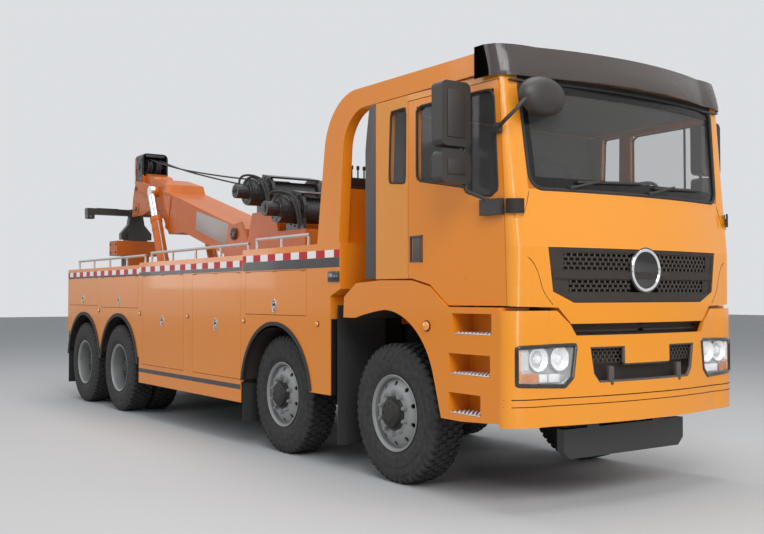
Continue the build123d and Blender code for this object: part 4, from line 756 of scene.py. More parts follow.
half_loop = rounded(*SCREEN_LOW) + rounded(*SCREEN_HIGH)[::-1]
over = [(x, SCREEN_HIGH[1]) for x in spread(900, -900, 12)]
under = [(x, SCREEN_LOW[1]) for x in spread(-900, 900, 12)]
outline = half_loop + over + [(-x, z) for x, z in reversed(half_loop)] + under + half_loop[:1]
bm = bmesh.new()
hose(bm, [screen_point(x, z, 2) for x, z in outline], 13, order=2, resolution=2)
finish_piece("screen_seal", bm, rubber)
bm = bmesh.new()
for corner in (SCREEN_LOW, SCREEN_HIGH):
    for sign in SIGNS:
        skin(bm, [[screen_point(sign * x, level, -1) for x in spread(reach, corner[0] + 14, 4)]
                  for reach, level in rounded(*corner)], 3)
finish_piece("screen_corners", bm, front_paint)
bm = bmesh.new()
front_panel(bm, [(-1034, 1034, 2330), (-1030, 1030, 2252)], cab_front, 9, -2)
front_panel(bm, [(-1062, 1062, 3004), (-1058, 1058, 2940)], cab_front, 9, -2)
for sign in SIGNS:
    front_panel(bm, [(sign * 1000, sign * 1060, 3000), (sign * 968, sign * 1026, 2256)], cab_front, 9, -2, 4)
finish_piece("screen_band", bm, gloss_plastic)
# A dark strip above the screen paints the visor's shadow on the cab's front.
bm = bmesh.new()
front_panel(bm, [(-1076, 1076, 3058), (-1072, 1072, 3014)], cab_front, -2, 3)
finish_piece("visor_shadow_strip", bm, plastic)

# %% Wipers
bm = bmesh.new()
for pivot, tip in ((-700, -60), (80, 720)):
    base = Vector(screen_point(pivot, 2262, -6))
    bar(bm, base + Vector((0, 30, 0)), base + Vector((0, -14, 0)), 16)
    elbow = Vector(screen_point((pivot + tip) / 2 - 20, 2330, -20))
    bar(bm, base + Vector((0, -8, 0)), elbow, 11, end_radius=9)
    blade = [screen_point(x, 2306 + 26 * i / 6, -7) for i, x in enumerate(spread(pivot + 60, tip + 40, 7))]
    hose(bm, blade, 11, order=2, resolution=2)
finish_piece("wipers", bm, dark_plastic)
print("cab face done")


# %% Bumper: dark lining, intake mesh and trim, guide posts and the blank plate panel
def bumper_front(x, z=0):
    """Station of the bumper's skin, which is upright, so the height doesn't count."""
    return bow(x, *BUMPER)


bm = bmesh.new()
front_panel(bm, [(-870, 870, 1438), (-700, 700, 1205)], bumper_front, 95, -10)
for z, half in ((1245, 700), (1290, 745), (1335, 790)):
    front_panel(bm, [(-half, half, z + 14), (-half, half, z)], bumper_front, 70, -30)
front_panel(bm, [(-575, 575, 1145), (-495, 495, 880)], bumper_front, 92, -8)
finish_piece("bumper_lining", bm, plastic)
bm = bmesh.new()
for x0, x1 in ((-552, -256), (256, 552)):
    lattice(bm, bumper_front, 34, x0, x1, 1024, 1132, 42, 27, 9)
finish_piece("intake_mesh", bm, plastic)
bm = bmesh.new()
intake = ((-572, 1140), (-245, 1140), (-245, 1015), (245, 1015), (245, 1140), (572, 1140), (540, 950),
          (490, 885), (-490, 885), (-540, 950), (-572, 1140))
dense = between(intake, (0, 0.25, 0.5, 0.75))
hose(bm, [(x, bumper_front(x) + 17, z) for x, z in dense + dense[:1]], 16, order=2, resolution=2)
collar(bm, intake, bumper_front, 8, 100)
for sign in SIGNS:
    x0, x1 = sorted((sign * 345, sign * 400))
    y = bumper_front(372)
    box(bm, x0, x1, y + 2, y + 40, 850, 1000, 8)
    bar(bm, (sign * 372, y + 6, 880), (sign * 372, y - 3, 880), 16, bevel=2)
finish_piece("intake_trim", bm, plastic)
bm = bmesh.new()
front_panel(bm, [(-235, 235, 1135), (-235, 235, 1022)], bumper_front, 2, -8, 10)
finish_piece("plate_panel", bm, paint)

# %% Headlamps: the opening's outline and depth
LAMP_OUTER, LAMP_XS, LAMP_Z = 1168, (812, 992), 1064
LAMP_OUTLINE = ((724, 932), (694, 1158), (LAMP_OUTER, 1148), (LAMP_OUTER, 889), (788, 872), (724, 932))


def lamp_inner(z):
    """Inner end of the lamp opening at a height."""
    return 724 - 30 * (z - 932) / 226 if z > 932 else 788 - 64 * (z - 872) / 60


def lamp_depth(x):
    """Depth of the reflector behind the bumper's skin, less where the bumper turns its corner."""
    return 56 - 42 * max(0, (x - 900) / 268)


def lamp_rows(sign, heights, offset, columns=16):
    """Rows of points across the lamp; the offset is a function of x."""
    return [[(sign * x, bumper_front(x) + offset(x), z) for x in spread(lamp_inner(z), LAMP_OUTER, columns)]
            for z in heights]


# %% Headlamps: clear cover, reflectors, bulbs, indicator and bezel
for side, sign in SIDES:
    bm = bmesh.new()
    skin(bm, lamp_rows(sign, spread(876, 1148, 8), lambda x: 4), 3)
    cover = finish_piece(f"lamp_cover_{side}", bm, clear)
    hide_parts("lamps")
    bm = bmesh.new()
    skin(bm, lamp_rows(sign, spread(872, 1150, 10), lamp_depth), 4)
    edge = along(LAMP_OUTLINE, 8)
    skin(bm, [[(sign * x, bumper_front(x) + 6, z) for x, z in edge],
              [(sign * x, bumper_front(x) + lamp_depth(x) + 2, z) for x, z in edge]], 2)
    for x in LAMP_XS:
        y = bumper_front(x)
        turned(bm, [(y + 60, 10), (y + 57, 30), (y + 44, 58), (y + 16, 84), (y + 22, 88), (y + 50, 62),
                    (y + 63, 30), (y + 64, 10)], (sign * x, 0, LAMP_Z), "y", 32)
    for index in range(9):
        x = 1082 + index * 10
        y = bumper_front(x)
        box(bm, sign * (x - 2), sign * (x + 2), y + 14, y + 30, 985, 1140, 1, 1)
    finish_piece(f"lamp_reflector_{side}", bm, silver)
    bm = bmesh.new()
    for x in LAMP_XS:
        y = bumper_front(x)
        turned(bm, [(y + 62, 0.5), (y + 62, 34), (y + 34, 32), (y + 20, 22), (y + 14, 0.5)],
               (sign * x, 0, LAMP_Z), "y", 24)
    for x0, x1, y in ((800, 900, bumper_front(850)), (910, 985, bumper_front(950))):
        box(bm, sign * x0, sign * x1, y + 26, y + 60, 900, 960, 6)
    finish_piece(f"lamp_bulbs_{side}", bm, white_lens)
    bm = bmesh.new()
    skin(bm, [[(sign * x, bumper_front(x) + 18, z) for x in spread(1000, 1150, 8)] for z in (898, 966)], 8)
    finish_piece(f"indicator_{side}", bm, amber_lens)
    bm = bmesh.new()
    hose(bm, [(sign * x, bumper_front(x) + 6, z) for x, z in edge], 16, order=2, resolution=2)
    finish_piece(f"lamp_bezel_{side}", bm, gloss_plastic)

# %% Dark lines of painted shade along the bumper's lip and groove and the creases of the cab's front
CREASE_FRONT = -1612.2  # no dark line stands further out than the bumper's own nose
CAB_CREASES = (((1040, 2225), (1062, 2150), (1098, 2060), (1130, 2040), (1203, 2030)),
             ((1203, 1800), (1120, 1790), (1040, 1740), (990, 1640), (960, 1520), (880, 1440)))
bm = bmesh.new()
for z, half in ((792, 3.2), (742, 2.6)):
    skin(bm, [[(x, max(bumper_front(x) - 2, CREASE_FRONT), level) for x in spread(-1240, 1240, 60)]
              for level in (z + half, z - half)], -2)
for sign in SIGNS:
    for crease_line in CAB_CREASES:
        hose(bm, [(sign * x, cab_front(x, z) + 0.5, z) for x, z in crease_line], 2.4, order=3, resolution=4)
finish_piece("front_crease_shades", bm, crease_shade_black)
print("bumper and lamps done")

# %% [markdown]
# ## Cab sides
#
# Door windows get rubber edges, the handle its dark recess, the steps their punched treads, and the
# mirrors their glass. What hangs on a door rides on the door's body.

# %% Door windows, handles and mirror glass
DOOR_WINDOW = ((-430, 2950), (-430, 2385), (-963, 2288), (-1018, 2235), (-1250, 2200), (-1322, 2240),
               (-1282, 2950))
QUARTER_WINDOW = ((-95, 2962), (-300, 2967), (-290, 2376), (-70, 2399))
HALF_W = 1245
MIRROR_PANES = ((2285, 2515), (2545, 3000))


def cab_side(station):
    """Half width of the cab at a station: it narrows towards the nose."""
    return HALF_W - 40 * min(max((-330 - station) / 1070, 0), 1)


def seal(bm, outline, sign, radius, proud):
    """Rubber edge round a window in the cab's side."""
    dense = between(list(outline) + [outline[0]], (0.06, 0.35, 0.65, 0.94))
    dense.append(dense[0])
    hose(bm, [(sign * (cab_side(y) + proud), y, z) for y, z in dense], radius, order=2, resolution=2)


for side, sign in SIDES:
    door = f"cab_door_{side}"
    bm = bmesh.new()
    seal(bm, DOOR_WINDOW, sign, 11, -5)
    divider = [(sign * (cab_side(-1015) - 8), -1015, z) for z in spread(2240, 2945, 4)]
    hose(bm, divider, 10, order=2, resolution=2)
    finish_piece(f"door_seal_{side}", bm, rubber, door)
    bm = bmesh.new()
    seal(bm, QUARTER_WINDOW, sign, 9, -4)
    finish_piece(f"quarter_seal_{side}", bm, rubber)
    bm = bmesh.new()
    x = cab_side(-420)
    box(bm, sign * (x - 27), sign * (x - 22), -497, -348, 1765, 1954, 1, 1)
    for y0, y1, z0, z1 in ((-503, -492, 1757, 1962), (-353, -342, 1757, 1962), (-503, -342, 1949, 1962),
                           (-503, -342, 1757, 1770)):
        box(bm, sign * (x - 27), sign * (x + 4), y0, y1, z0, z1, 2, 1)
    grip = [(-474, 1768), (-474, 1950), (-372, 1950), (-372, 1768)]
    side_plate(bm, grip, sign * (x - 12), sign * (x - 1), 5)
    finish_piece(f"door_handle_{side}", bm, plastic, door)
    bm = bmesh.new()
    for z0, z1 in MIRROR_PANES:
        box(bm, sign * 1312, sign * 1528, -1017, -1012, z0 + 26, z1 - 26, 2, 1)
    finish_piece(f"mirror_glass_{side}", bm, chrome, door)
    bm = bmesh.new()
    for z0, z1 in MIRROR_PANES:
        for x0, x1, low, high in ((1300, 1310, z0 + 18, z1 - 18), (1530, 1540, z0 + 18, z1 - 18),
                                  (1305, 1535, z0 + 14, z0 + 24), (1305, 1535, z1 - 24, z1 - 14)):
            box(bm, sign * x0, sign * x1, -1018, -1008, low, high, 3, 1)
        box(bm, sign * 1340, sign * 1500, -1138, -1122, z0 + 60, z1 - 60, 7, 2)
    for z in (2330, 2440, 2620, 2900):
        bar(bm, (sign * 1318, -1090, z), (sign * 1318, -1050, z), 22, bevel=4)
    finish_piece(f"mirror_rims_{side}", bm, dark_plastic, door)

# %% Steps: aluminium treads with rows of studs, the fender's marker and its liner
STEPS = ((1225, -1290, -860), (935, -1274, -820), (652, -1172, -819))
MARKER_Y, MARKER_Z = -563, 1275
LINER = ((-725, 606), (-635, 899), (-582, 1031), (-502, 1149), (-398, 1247), (-276, 1322), (-142, 1368),
         (0, 1385), (70, 1377), (140, 1368), (210, 1356), (280, 1344), (350, 1329), (419, 1313), (598, 1313))
for side, sign in SIDES:
    bm = bmesh.new()
    for z, y0, y1 in STEPS:
        box(bm, sign * 1060, sign * 1242, y0 + 8, y1 - 8, z + 0.5, z + 9, 3)
        count = int((y1 - y0 - 40) / 40)
        for row in range(4):
            for column in range(count):
                y = y0 + 26 + (y1 - y0 - 52) * (column + 0.5) / count
                x = 1086 + 44 * row
                bar(bm, (sign * x, y, z + 7), (sign * x, y, z + 16), 12, sides=10, end_radius=8)
    finish_piece(f"step_treads_{side}", bm, aluminium)
    bm = bmesh.new()
    bar(bm, (sign * 1241, MARKER_Y, MARKER_Z), (sign * 1262, MARKER_Y, MARKER_Z), 34, sides=28, bevel=4)
    finish_piece(f"fender_marker_{side}", bm, amber_lens)
    bm = bmesh.new()
    bar(bm, (sign * 1242, MARKER_Y, MARKER_Z), (sign * 1252, MARKER_Y, MARKER_Z), 43, sides=32, bevel=3)
    finish_piece(f"fender_marker_base_{side}", bm, rubber)
    bm = bmesh.new()
    skin(bm, [[(sign * x, y, z) for y, z in LINER] for x in (644, 1242)], 3)
    finish_piece(f"fender_liner_{side}", bm, plastic)

# %% Mirror foot that goes round the corner of the cab, ahead of the door
for side, sign in SIDES:
    bm = bmesh.new()
    turn = [(sign * (1058 + 171 * cos(a)), -1389 - 105 * sin(a)) for a in spread(radians(14), radians(70), 9)]
    skin(bm, [[(x, y, z) for x, y in turn] for z in (2066, 2074, 2160, 2168)], 20)
    finish_piece(f"mirror_foot_{side}", bm, dark_plastic)


# %% Front mirror on its arm, over the right corner of the screen
def oval_dish(bm, profile):
    """Profile about a lengthways axis, flattened and moved to the front mirror's place."""
    turned(bm, profile, (0, 0, 0), "y", 40)
    bmesh.ops.scale(bm, vec=(1, 1, 0.66), verts=bm.verts)
    bmesh.ops.translate(bm, vec=(-970, 0, 2880), verts=bm.verts)


bm = bmesh.new()
oval_dish(bm, [(-1600, 0.5), (-1599, 70), (-1590, 120), (-1570, 168), (-1545, 196), (-1520, 207),
               (-1500, 208), (-1494, 200), (-1500, 188), (-1500, 0.5)])
hose(bm, [(-1216, -1330, 2660), (-1260, -1440, 2690), (-1225, -1520, 2760), (-1150, -1545, 2850),
          (-1080, -1545, 2880)], 14)
box(bm, -1232, -1206, -1372, -1290, 2625, 2700, 8)
finish_piece("front_mirror", bm, dark_plastic)
bm = bmesh.new()
oval_dish(bm, [(-1501, 0.5), (-1501, 184), (-1497, 184), (-1492, 120), (-1490, 0.5)])
finish_piece("front_mirror_glass", bm, chrome)
print("cab sides done")

# %% [markdown]
# ## Locker body
#
# Along each side run a red and white reflective tape over a black stripe, small amber lamps, a latch
# on every door and a round hinge along its top. The tape's squares come from the object coordinate.


# %% Tape finish, tape and stripes
TAPE_SQUARE = 0.15


def tape_finish():
    """Red and white squares along the truck."""
    material = finish("reflective_tape", (0.8, 0.8, 0.8), 0.4, specular=0.2)
    tree = material.node_tree
    place = tree.nodes.new("ShaderNodeTexCoord")
    split = tree.nodes.new("ShaderNodeSeparateXYZ")
    tree.links.new(place.outputs["Object"], split.inputs["Vector"])
    swing = maths(tree, "PINGPONG", split.outputs["Y"], TAPE_SQUARE)
    square = maths(tree, "GREATER_THAN", swing, TAPE_SQUARE / 2)
    return tint(material, square, (0.52, 0.012, 0.02), (0.86, 0.86, 0.84))


tape = tape_finish()
# Each step of the body: stations, heights of the tape, and the lower edge of the black stripe
TAPES = ((664, 2474, 1835, 1900, 1748), (2486, 5309, 1793, 1858, 1752), (5321, 8184, 1776, 1840, 1755))
bm, stripes = bmesh.new(), bmesh.new()
for y0, y1, z0, z1, low in TAPES:
    box(bm, 1244, 1247, y0, y1, z0, z1, 0.8, 1)
    box(stripes, 1244, 1246.5, y0, y1, low, z0 - 2, 0.8, 1)
box(stripes, 1244, 1246.5, 2522, 5310, 557, 605, 0.8, 1)
both_sides(bm)
finish_piece("reflective_tape", bm, tape)
both_sides(stripes)
finish_piece("stripes", stripes, black_paint)

# %% Marker lamps
bm, bases = bmesh.new(), bmesh.new()
for y, z in ((1021, 1253), (2449, 1249), (3825, 1272), (5280, 1283), (6803, 1299)):
    bar(bm, (1244, y, z), (1260, y, z), 20, sides=20, bevel=5)
    bar(bases, (1243, y, z), (1249, y, z), 27, sides=20, bevel=2)
both_sides(bm)
both_sides(bases)
finish_piece("side_markers", bm, amber_lens)
finish_piece("side_marker_bases", bases, rubber)

# %% A latch and a hinge on every locker door, by stations and heights
DOORS = ((1222, 2416, 1322, 1735), (2522, 3700, 660, 1740), (3950, 5200, 660, 1745), (5360, 6740, 1350, 1750),
         (6868, 8140, 1370, 1750))
LOW_DOOR, LONG_DOOR = 600, 1300
for number, (y0, y1, z0, z1) in enumerate(DOORS, start=1):
    mid = (y0 + y1) / 2
    latch_z = z0 + 85 if z1 - z0 < LOW_DOOR else (z0 + z1) / 2
    for side, sign in SIDES:
        body = f"locker_door_{number}_{side}"
        bm = bmesh.new()
        # A flat near-black oval behind each latch is painted shade for its pocket.
        oval = [(mid + 37 * cos(a), latch_z + 59 * sin(a)) for a in spread(0, 2 * pi, 29)[:-1]]
        side_plate(bm, oval, sign * 1242, sign * 1246)
        finish_piece(f"latch_pocket_shade_{number}_{side}", bm, painted_shade_black, body)
        bm = bmesh.new()
        hoop = [(38 * cos(a), 60 * sin(a)) for a in spread(0, 2 * pi, 25)]
        hose(bm, [(sign * 1245, mid + u, latch_z + v) for u, v in hoop], 7, order=2, resolution=2)
        side_plate(bm, [(mid - 12, latch_z - 40), (mid + 12, latch_z - 40), (mid + 15, latch_z),
                        (mid - 15, latch_z)], sign * 1244, sign * 1249, 2)
        bar(bm, (sign * 1244, mid, latch_z + 28), (sign * 1250, mid, latch_z + 28), 12, sides=24, bevel=2)
        finish_piece(f"latch_{number}_{side}", bm, steel, body)
        # The hinge knuckles take the darker orange, which paints their shade.
        bm = bmesh.new()
        for y in spread(y0 + 60, y1 - 60, 4 if y1 - y0 > LONG_DOOR else 3):
            bar(bm, (sign * 1240, y - 40, z1 - 5), (sign * 1240, y + 40, z1 - 5), 7, sides=14, bevel=1.5)
        finish_piece(f"hinge_knuckles_{number}_{side}", bm, shaded_orange_paint, body)

# %% Dark liners and rubber lips of the wheel arches, each (station, radius, degrees above level)
ARCHES = ((1815, 657, 9), (6050, 665, 16), (7450, 665, 16))
LIP_BACK, LIP_EDGE = 24, 18
bm, lips = bmesh.new(), bmesh.new()
for station, radius, low in ARCHES:
    ends = radians(low), radians(180 - low)
    skin(bm, [[(x, station + radius * cos(a), WHEEL_Z + radius * sin(a)) for a in spread(*ends, 25)]
              for x in (482, 1243)], 3)
    lip = ((1228, radius - LIP_BACK), (1240, radius - LIP_BACK), (1246, radius - LIP_EDGE), (1246, radius))
    skin(lips, [[(x, station + r * cos(a), WHEEL_Z + r * sin(a)) for a in spread(*ends, 33)]
                for x, r in lip], 3)
both_sides(bm)
finish_piece("arch_liners", bm, plastic)
both_sides(lips)
finish_piece("arch_lips", lips, rubber)

# %% Behind the cab: a dark lamp box on each side
bm, lenses = bmesh.new(), bmesh.new()
for sign in SIGNS:
    box(bm, sign * 1246, sign * 1258, 664, 838, 1621, 1713, 5)
    for y in (690, 728, 766, 804):
        bar(lenses, (sign * 1256, y, 1669), (sign * 1260, y, 1669), 13, sides=16, bevel=1.5)
finish_piece("side_lamp_boxes", bm, gloss_plastic)
finish_piece("side_lamp_lenses", lenses, smoked)

# %% Valve rack on the deck, with a hose from each lever
VALVES = spread(-1030, -700, 6)
bm, hoses = bmesh.new(), bmesh.new()
box(bm, -1080, -640, 860, 1060, 2451, 2478, 6)
box(bm, -1060, -660, 880, 1040, 2476, 2560, 12)
for index, x in enumerate(VALVES):
    bar(bm, (x, 900, 2556), (x, 900, 2640), 7, sides=12)
    bar(bm, (x, 900, 2632), (x, 900, 2668), 14, sides=14, bevel=4)
    bar(bm, (x, 1038, 2510), (x, 1066, 2510), 16, sides=6, bevel=2)
    shift = 60 * index
    hose(hoses, [(x, 1060, 2510), (x, 1180, 2505), (x + 40, 1330, 2380 - 18 * index),
                 (shift - 560, 1620, 1900), (shift - 420, 1900, 1500), (shift - 330, 2300, 1300),
                 (shift - 300, 2700, 1290)], 11)
finish_piece("valve_rack", bm, black_paint)
finish_piece("hydraulic_hoses", hoses, rubber)
print("lockers done")

# %% [markdown]
# ## Winches, boom and ropes
#
# The drums carry a layer of wire rope between bolted flanges. Two ropes leave them for the sheaves in
# the boom's head. Each rope is drawn in two lengths.

# %% Winches: rope layers, bolts, ribs and short hoses
WINCHES = ((3740, 2705), (3030, 2455))
# Routes from the motor, as (x, station, height) from the drum's middle
WINCH_HOSES = (((-640, 30, 70), (-640, 60, 170), (-560, -60, 200), (-430, -170, 140), (-400, -240, -20),
                (-395, -250, -200)),
               ((-600, -20, 75), (-590, -20, 150), (-500, -90, 175), (-440, -190, 60), (-425, -250, -120),
                (-420, -250, -230)))


def bolt_ring(bm, count, centre, x0, x1, ring, radius):
    """Hexagon bolts on a ring about an axis along x."""
    _, y, z = centre
    ring_of(bm, count, centre, lambda: bar(bm, (x0, y, z + ring), (x1, y, z + ring), radius, sides=6))


bm, rope_bm, hoses = bmesh.new(), bmesh.new(), bmesh.new()
for station, height in WINCHES:
    centre = (0, station, height)
    for x in spread(-276, 276, 24):
        turned(rope_bm, [(x - 12, 128), (x - 11, 140), (x, 146), (x + 11, 140), (x + 12, 128)],
               centre, "x", 28)
    bolt_ring(bm, 12, centre, -332, -340, 178, 13)
    for x, radius in ((-556, 112), (-700, 60)):
        turned(bm, [(x, 1), (x, radius), (x - 10, radius - 6), (x - 10, 1)], centre, "x", 24)
        bolt_ring(bm, 8, centre, x, x - 12, radius + 14, 8)
    turned(bm, [(558, 1), (558, 150), (566, 146), (566, 1)], centre, "x", 32)
    for first, pitch, count, inner, outer, width in ((-540, 46, 5, 148, 158, 14), (360, 52, 4, 188, 197, 16)):
        for index in range(count):
            x = first + pitch * index
            turned(bm, [(x, inner), (x, outer), (x + width, outer), (x + width, inner)], centre, "x", 36)
    for route in WINCH_HOSES:
        hose(hoses, [(x, station + y, height + z) for x, y, z in route], 13)
finish_piece("winch_dress", bm, black_paint)
finish_piece("winch_rope_layers", rope_bm, rope_steel)
finish_piece("winch_hoses", hoses, rubber)

# %% Boom dress: blank plates, doublers and pivot caps
PIVOT_Y, PIVOT_Z, TILT = 4420, 2260, radians(15.5)


def on_boom(along, up):
    """Station and height of a point along the boom and square to it."""
    return (PIVOT_Y + along * cos(TILT) - up * sin(TILT), PIVOT_Z + along * sin(TILT) + up * cos(TILT))


def doubler(bm, outline, x0, x1, bevel):
    """Flat plate on the boom's side, from (along, up) points."""
    side_plate(bm, [on_boom(a, u) for a, u in outline], x0, x1, bevel)


bm = bmesh.new()
side_plate(bm, [(5707, 2634), (4738, 2401), (4791, 2126), (5745, 2385)], 300, 304, 2)
both_sides(bm)
finish_piece("boom_plates", bm, white_plate, "boom")
bm = bmesh.new()
doubler(bm, ((2240, 40), (2330, 40), (2330, -420), (2240, -440)), 299, 312, 3)
doubler(bm, ((3040, 60), (3098, 60), (3098, -222), (3040, -222)), 299, 312, 3)
doubler(bm, ((-60, -190), (180, -260), (230, -120), (180, 40), (-40, 40)), 299, 318, 4)
both_sides(bm)
finish_piece("boom_doublers", bm, shaded_orange_paint, "boom")
bm = bmesh.new()
for sign in SIGNS:
    bar(bm, (sign * 386, PIVOT_Y, PIVOT_Z), (sign * 402, PIVOT_Y, PIVOT_Z), 76, sides=32, bevel=5)
    for a in spread(0, 2 * pi, 7)[:-1]:
        y, z = PIVOT_Y + 52 * cos(a), PIVOT_Z + 52 * sin(a)
        bar(bm, (sign * 400, y, z), (sign * 412, y, z), 10, sides=6)
finish_piece("pivot_caps", bm, black_paint)

# %% Boom head: dark cheeks, grooved sheaves and red lamps
SHEAVE_Y, SHEAVE_Z = 8075, 3500
SHEAVE_X = 70
bm = bmesh.new()
for sign in SIGNS:
    side_plate(bm, [(7938, 3200), (8228, 3200), (8228, 3625), (7938, 3625)], sign * 205, sign * 209, 1.5)
    for y, z in ((7975, 3260), (8190, 3260), (7975, 3590), (8190, 3590)):
        bar(bm, (sign * 208, y, z), (sign * 216, y, z), 13, sides=6)
    bar(bm, (sign * 206, SHEAVE_Y, SHEAVE_Z), (sign * 224, SHEAVE_Y, SHEAVE_Z), 52, sides=28, bevel=5)
front_plate(bm, [(-150, 3640), (150, 3640), (150, 3672), (-150, 3672)], 7930, 8234, 3)
finish_piece("head_dress", bm, black_paint, "boom_inner")
bm = bmesh.new()
for x in (-SHEAVE_X, SHEAVE_X):
    turned(bm, [(x - 36, 44), (x - 36, 134), (x - 30, 140), (x - 12, 118), (x + 12, 118), (x + 30, 140),
                (x + 36, 134), (x + 36, 44)], (0, SHEAVE_Y, SHEAVE_Z), "x", 40)
finish_piece("head_sheaves", bm, gear_grey, "boom_inner")
bm = bmesh.new()
for sign in SIGNS:
    box(bm, sign * 208, sign * 217, 8176, 8229, 3250, 3640, 3)
finish_piece("head_lamps", bm, red_lens, "boom_inner")
bm = bmesh.new()
doubler(bm, ((3150, -20), (3560, -20), (3840, -70), (3860, -180), (3560, -140), (3190, -200)), 228, 240, 4)
doubler(bm, ((3620, -330), (3860, -330), (3840, -540), (3640, -500)), 228, 238, 4)
both_sides(bm)
finish_piece("nose_doublers", bm, shaded_orange_paint, "boom_inner")
bm = bmesh.new()
for sign in SIGNS:
    for a, u in ((3220, -110), (3800, -120), (3700, -420)):
        y, z = on_boom(a, u)
        bar(bm, (sign * 236, y, z), (sign * 250, y, z), 34, sides=24, bevel=4)
finish_piece("nose_pins", bm, black_paint, "boom_inner")

# %% Ropes from the drums to the head, each (x at the head, station and height at the drum)
ROPE_R = 11
ROPES = {"right": (-SHEAVE_X, 3740, 2850), "left": (SHEAVE_X, 3030, 2600)}
MEETING_Y = 6600
DIP, LOW_SAG, HIGH_SAG = 70, 22, 12


def rope_length(name, start, end, sag, *bodies):
    """Rope that sags between two points; the bodies at its ends are not used."""
    bm = bmesh.new()
    hose(bm, [(*(a + (b - a) * t for a, b in zip(start[:2], end)),
               start[2] + (end[2] - start[2]) * t - sag * (1 - (2 * t - 1) ** 2)) for t in spread(0, 1, 9)],
         ROPE_R)
    piece = finish_piece(name, bm, rope_steel, None)
    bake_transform(piece)


for side, (x, y0, z0) in ROPES.items():
    head = (x, SHEAVE_Y - 20, SHEAVE_Z + 128)
    middle_z = z0 + (head[2] - z0) * ((MEETING_Y - y0) / (head[1] - y0)) - DIP
    middle = (x, MEETING_Y, middle_z)
    rope_length(f"rope_low_{side}", (0, y0, z0), middle, LOW_SAG, "truck", "boom")
    rope_length(f"rope_high_{side}", middle, head, HIGH_SAG, "boom", "boom_inner")
print("boom done")

# %% [markdown]
# ## Tail, rams and underlift
#
# Pins get caps, the rams their glands and pipes, the underlift its wear strips, latch pins and
# sockets, and the tail its lamps.

# %% Ram glands and pipes, on the barrels
RAM_X, RAM_R, ROD_ROOM = 390, 86, 62
RAM_FOOT = Vector((6347, 1360))
ram_way = (Vector(on_boom(2784, 12)) - RAM_FOOT).normalized()


def on_ram(x, along, side=0.0):
    """Point along the ram from its foot, and square to it."""
    point = RAM_FOOT + ram_way * along + Vector((-ram_way.y, ram_way.x)) * side
    return (x, point.x, point.y)


bm, pipes = bmesh.new(), bmesh.new()
for x in (-RAM_X, RAM_X):
    bar(bm, on_ram(x, 96), on_ram(x, 130), RAM_R, sides=36, bevel=5)
    for start in (700, 1180):
        bar(bm, on_ram(x, start), on_ram(x, start + 24), RAM_R - 2, sides=36, bevel=4)
    ring, hole = bmesh.new(), bmesh.new()
    for part, radius, depth in ((ring, RAM_R, 70), (hole, ROD_ROOM, 90)):
        bmesh.ops.create_cone(part, cap_ends=True, segments=40, radius1=radius, radius2=radius, depth=depth)
    gland = carve(ring, hole)
    turn = Vector((0, ram_way.x, ram_way.y)).to_track_quat("Z", "Y").to_matrix().to_4x4()
    bmesh.ops.transform(gland, matrix=Matrix.Translation(Vector(on_ram(x, 1352))) @ turn, verts=gland.verts)
    absorb(bm, gland)
    outer = x + (22 if x > 0 else -22)
    hose(pipes, [on_ram(outer, *spot) for spot in
                 ((160, 84), (200, 104), (1180, 104), (1290, 100), (1300, 84))], 9)
    hose(pipes, [on_ram(x, *spot) for spot in ((100, 78), (60, 150), (-20, 210), (-60, 190))], 12)
finish_piece("ram_dress", bm, shaded_orange_paint, "ram_barrels")
finish_piece("ram_pipes", pipes, steel, "ram_barrels")

# %% Underlift dress
bm = bmesh.new()
for sign in SIGNS:
    for y in (8700, 8800):
        box(bm, sign * 180, sign * 196, y, y + 30, 1080, 2120, 4)
    bar(bm, (sign * 178, 8560, 760), (sign * 204, 8560, 760), 78, sides=32, bevel=5)
    for z in (2190, 2320):
        for y in (8650, 8895):
            bar(bm, (sign * 359, y, z), (sign * 372, y, z), 15, sides=6)
for xs, zs, y0, y1, radius in (((-120, 0, 120), (1150, 1500, 1850), 8899, 8912, 16),
                               ((-300, 300), (2180, 2335), 8944, 8955, 17)):
    for x in xs:
        for z in zs:
            bar(bm, (x, y0, z), (x, y1, z), radius, sides=6)
finish_piece("underlift_dress", bm, black_paint, "underlift_arm")
bm = bmesh.new()
for sign in SIGNS:
    turned(bm, [(8812, 27), (8812, 46), (8822, 50), (8956, 50), (8958, 46), (8958, 27)],
           (sign * 700, 0, 2770), "y", 32)
    box(bm, sign * 250, sign * 600, 8836, 8944, 2886, 2896, 3)
turned(bm, [(8952, 0.5), (8952, 60), (8958, 56), (8958, 0.5)], (0, 0, 2840), "y", 32)
finish_piece("crossbar_dress", bm, black_paint, "underlift_crossbar")
bm = bmesh.new()
for sign in SIGNS:
    hose(bm, [(sign * x, y, z) for x, y, z in
              ((60, 8250, 900), (70, 8400, 880), (90, 8470, 1000), (110, 8540, 1180), (110, 8600, 1240))], 13)
finish_piece("tail_hoses", bm, rubber)

# %% Tail lamps and the bright edges of the tail
bm, red, amber = bmesh.new(), bmesh.new(), bmesh.new()
for sign in SIGNS:
    box(bm, sign * 880, sign * 1200, 8189, 8204, 1090, 1200, 8)
    for lens, x0, x1 in ((red, 890, 1040), (amber, 1048, 1120), (red, 1128, 1192)):
        box(lens, sign * x0, sign * x1, 8202, 8213, 1100, 1190, 8)
    for z0, z1 in ((1350, 1420), (1740, 1800)):
        box(red, sign * 1120, sign * 1200, 8189, 8194, z0, z1, 2)
finish_piece("tail_housings", bm, gloss_plastic)
finish_piece("tail_lamps_red", red, red_lens)
finish_piece("tail_lamps_amber", amber, amber_lens)
bm = bmesh.new()
for sign in SIGNS:
    side_plate(bm, [(8191, 1220), (8191, 1880), (8197, 1880), (8197, 1220)], sign * 1205, sign * 1243, 1)
finish_piece("tail_edges", bm, steel)

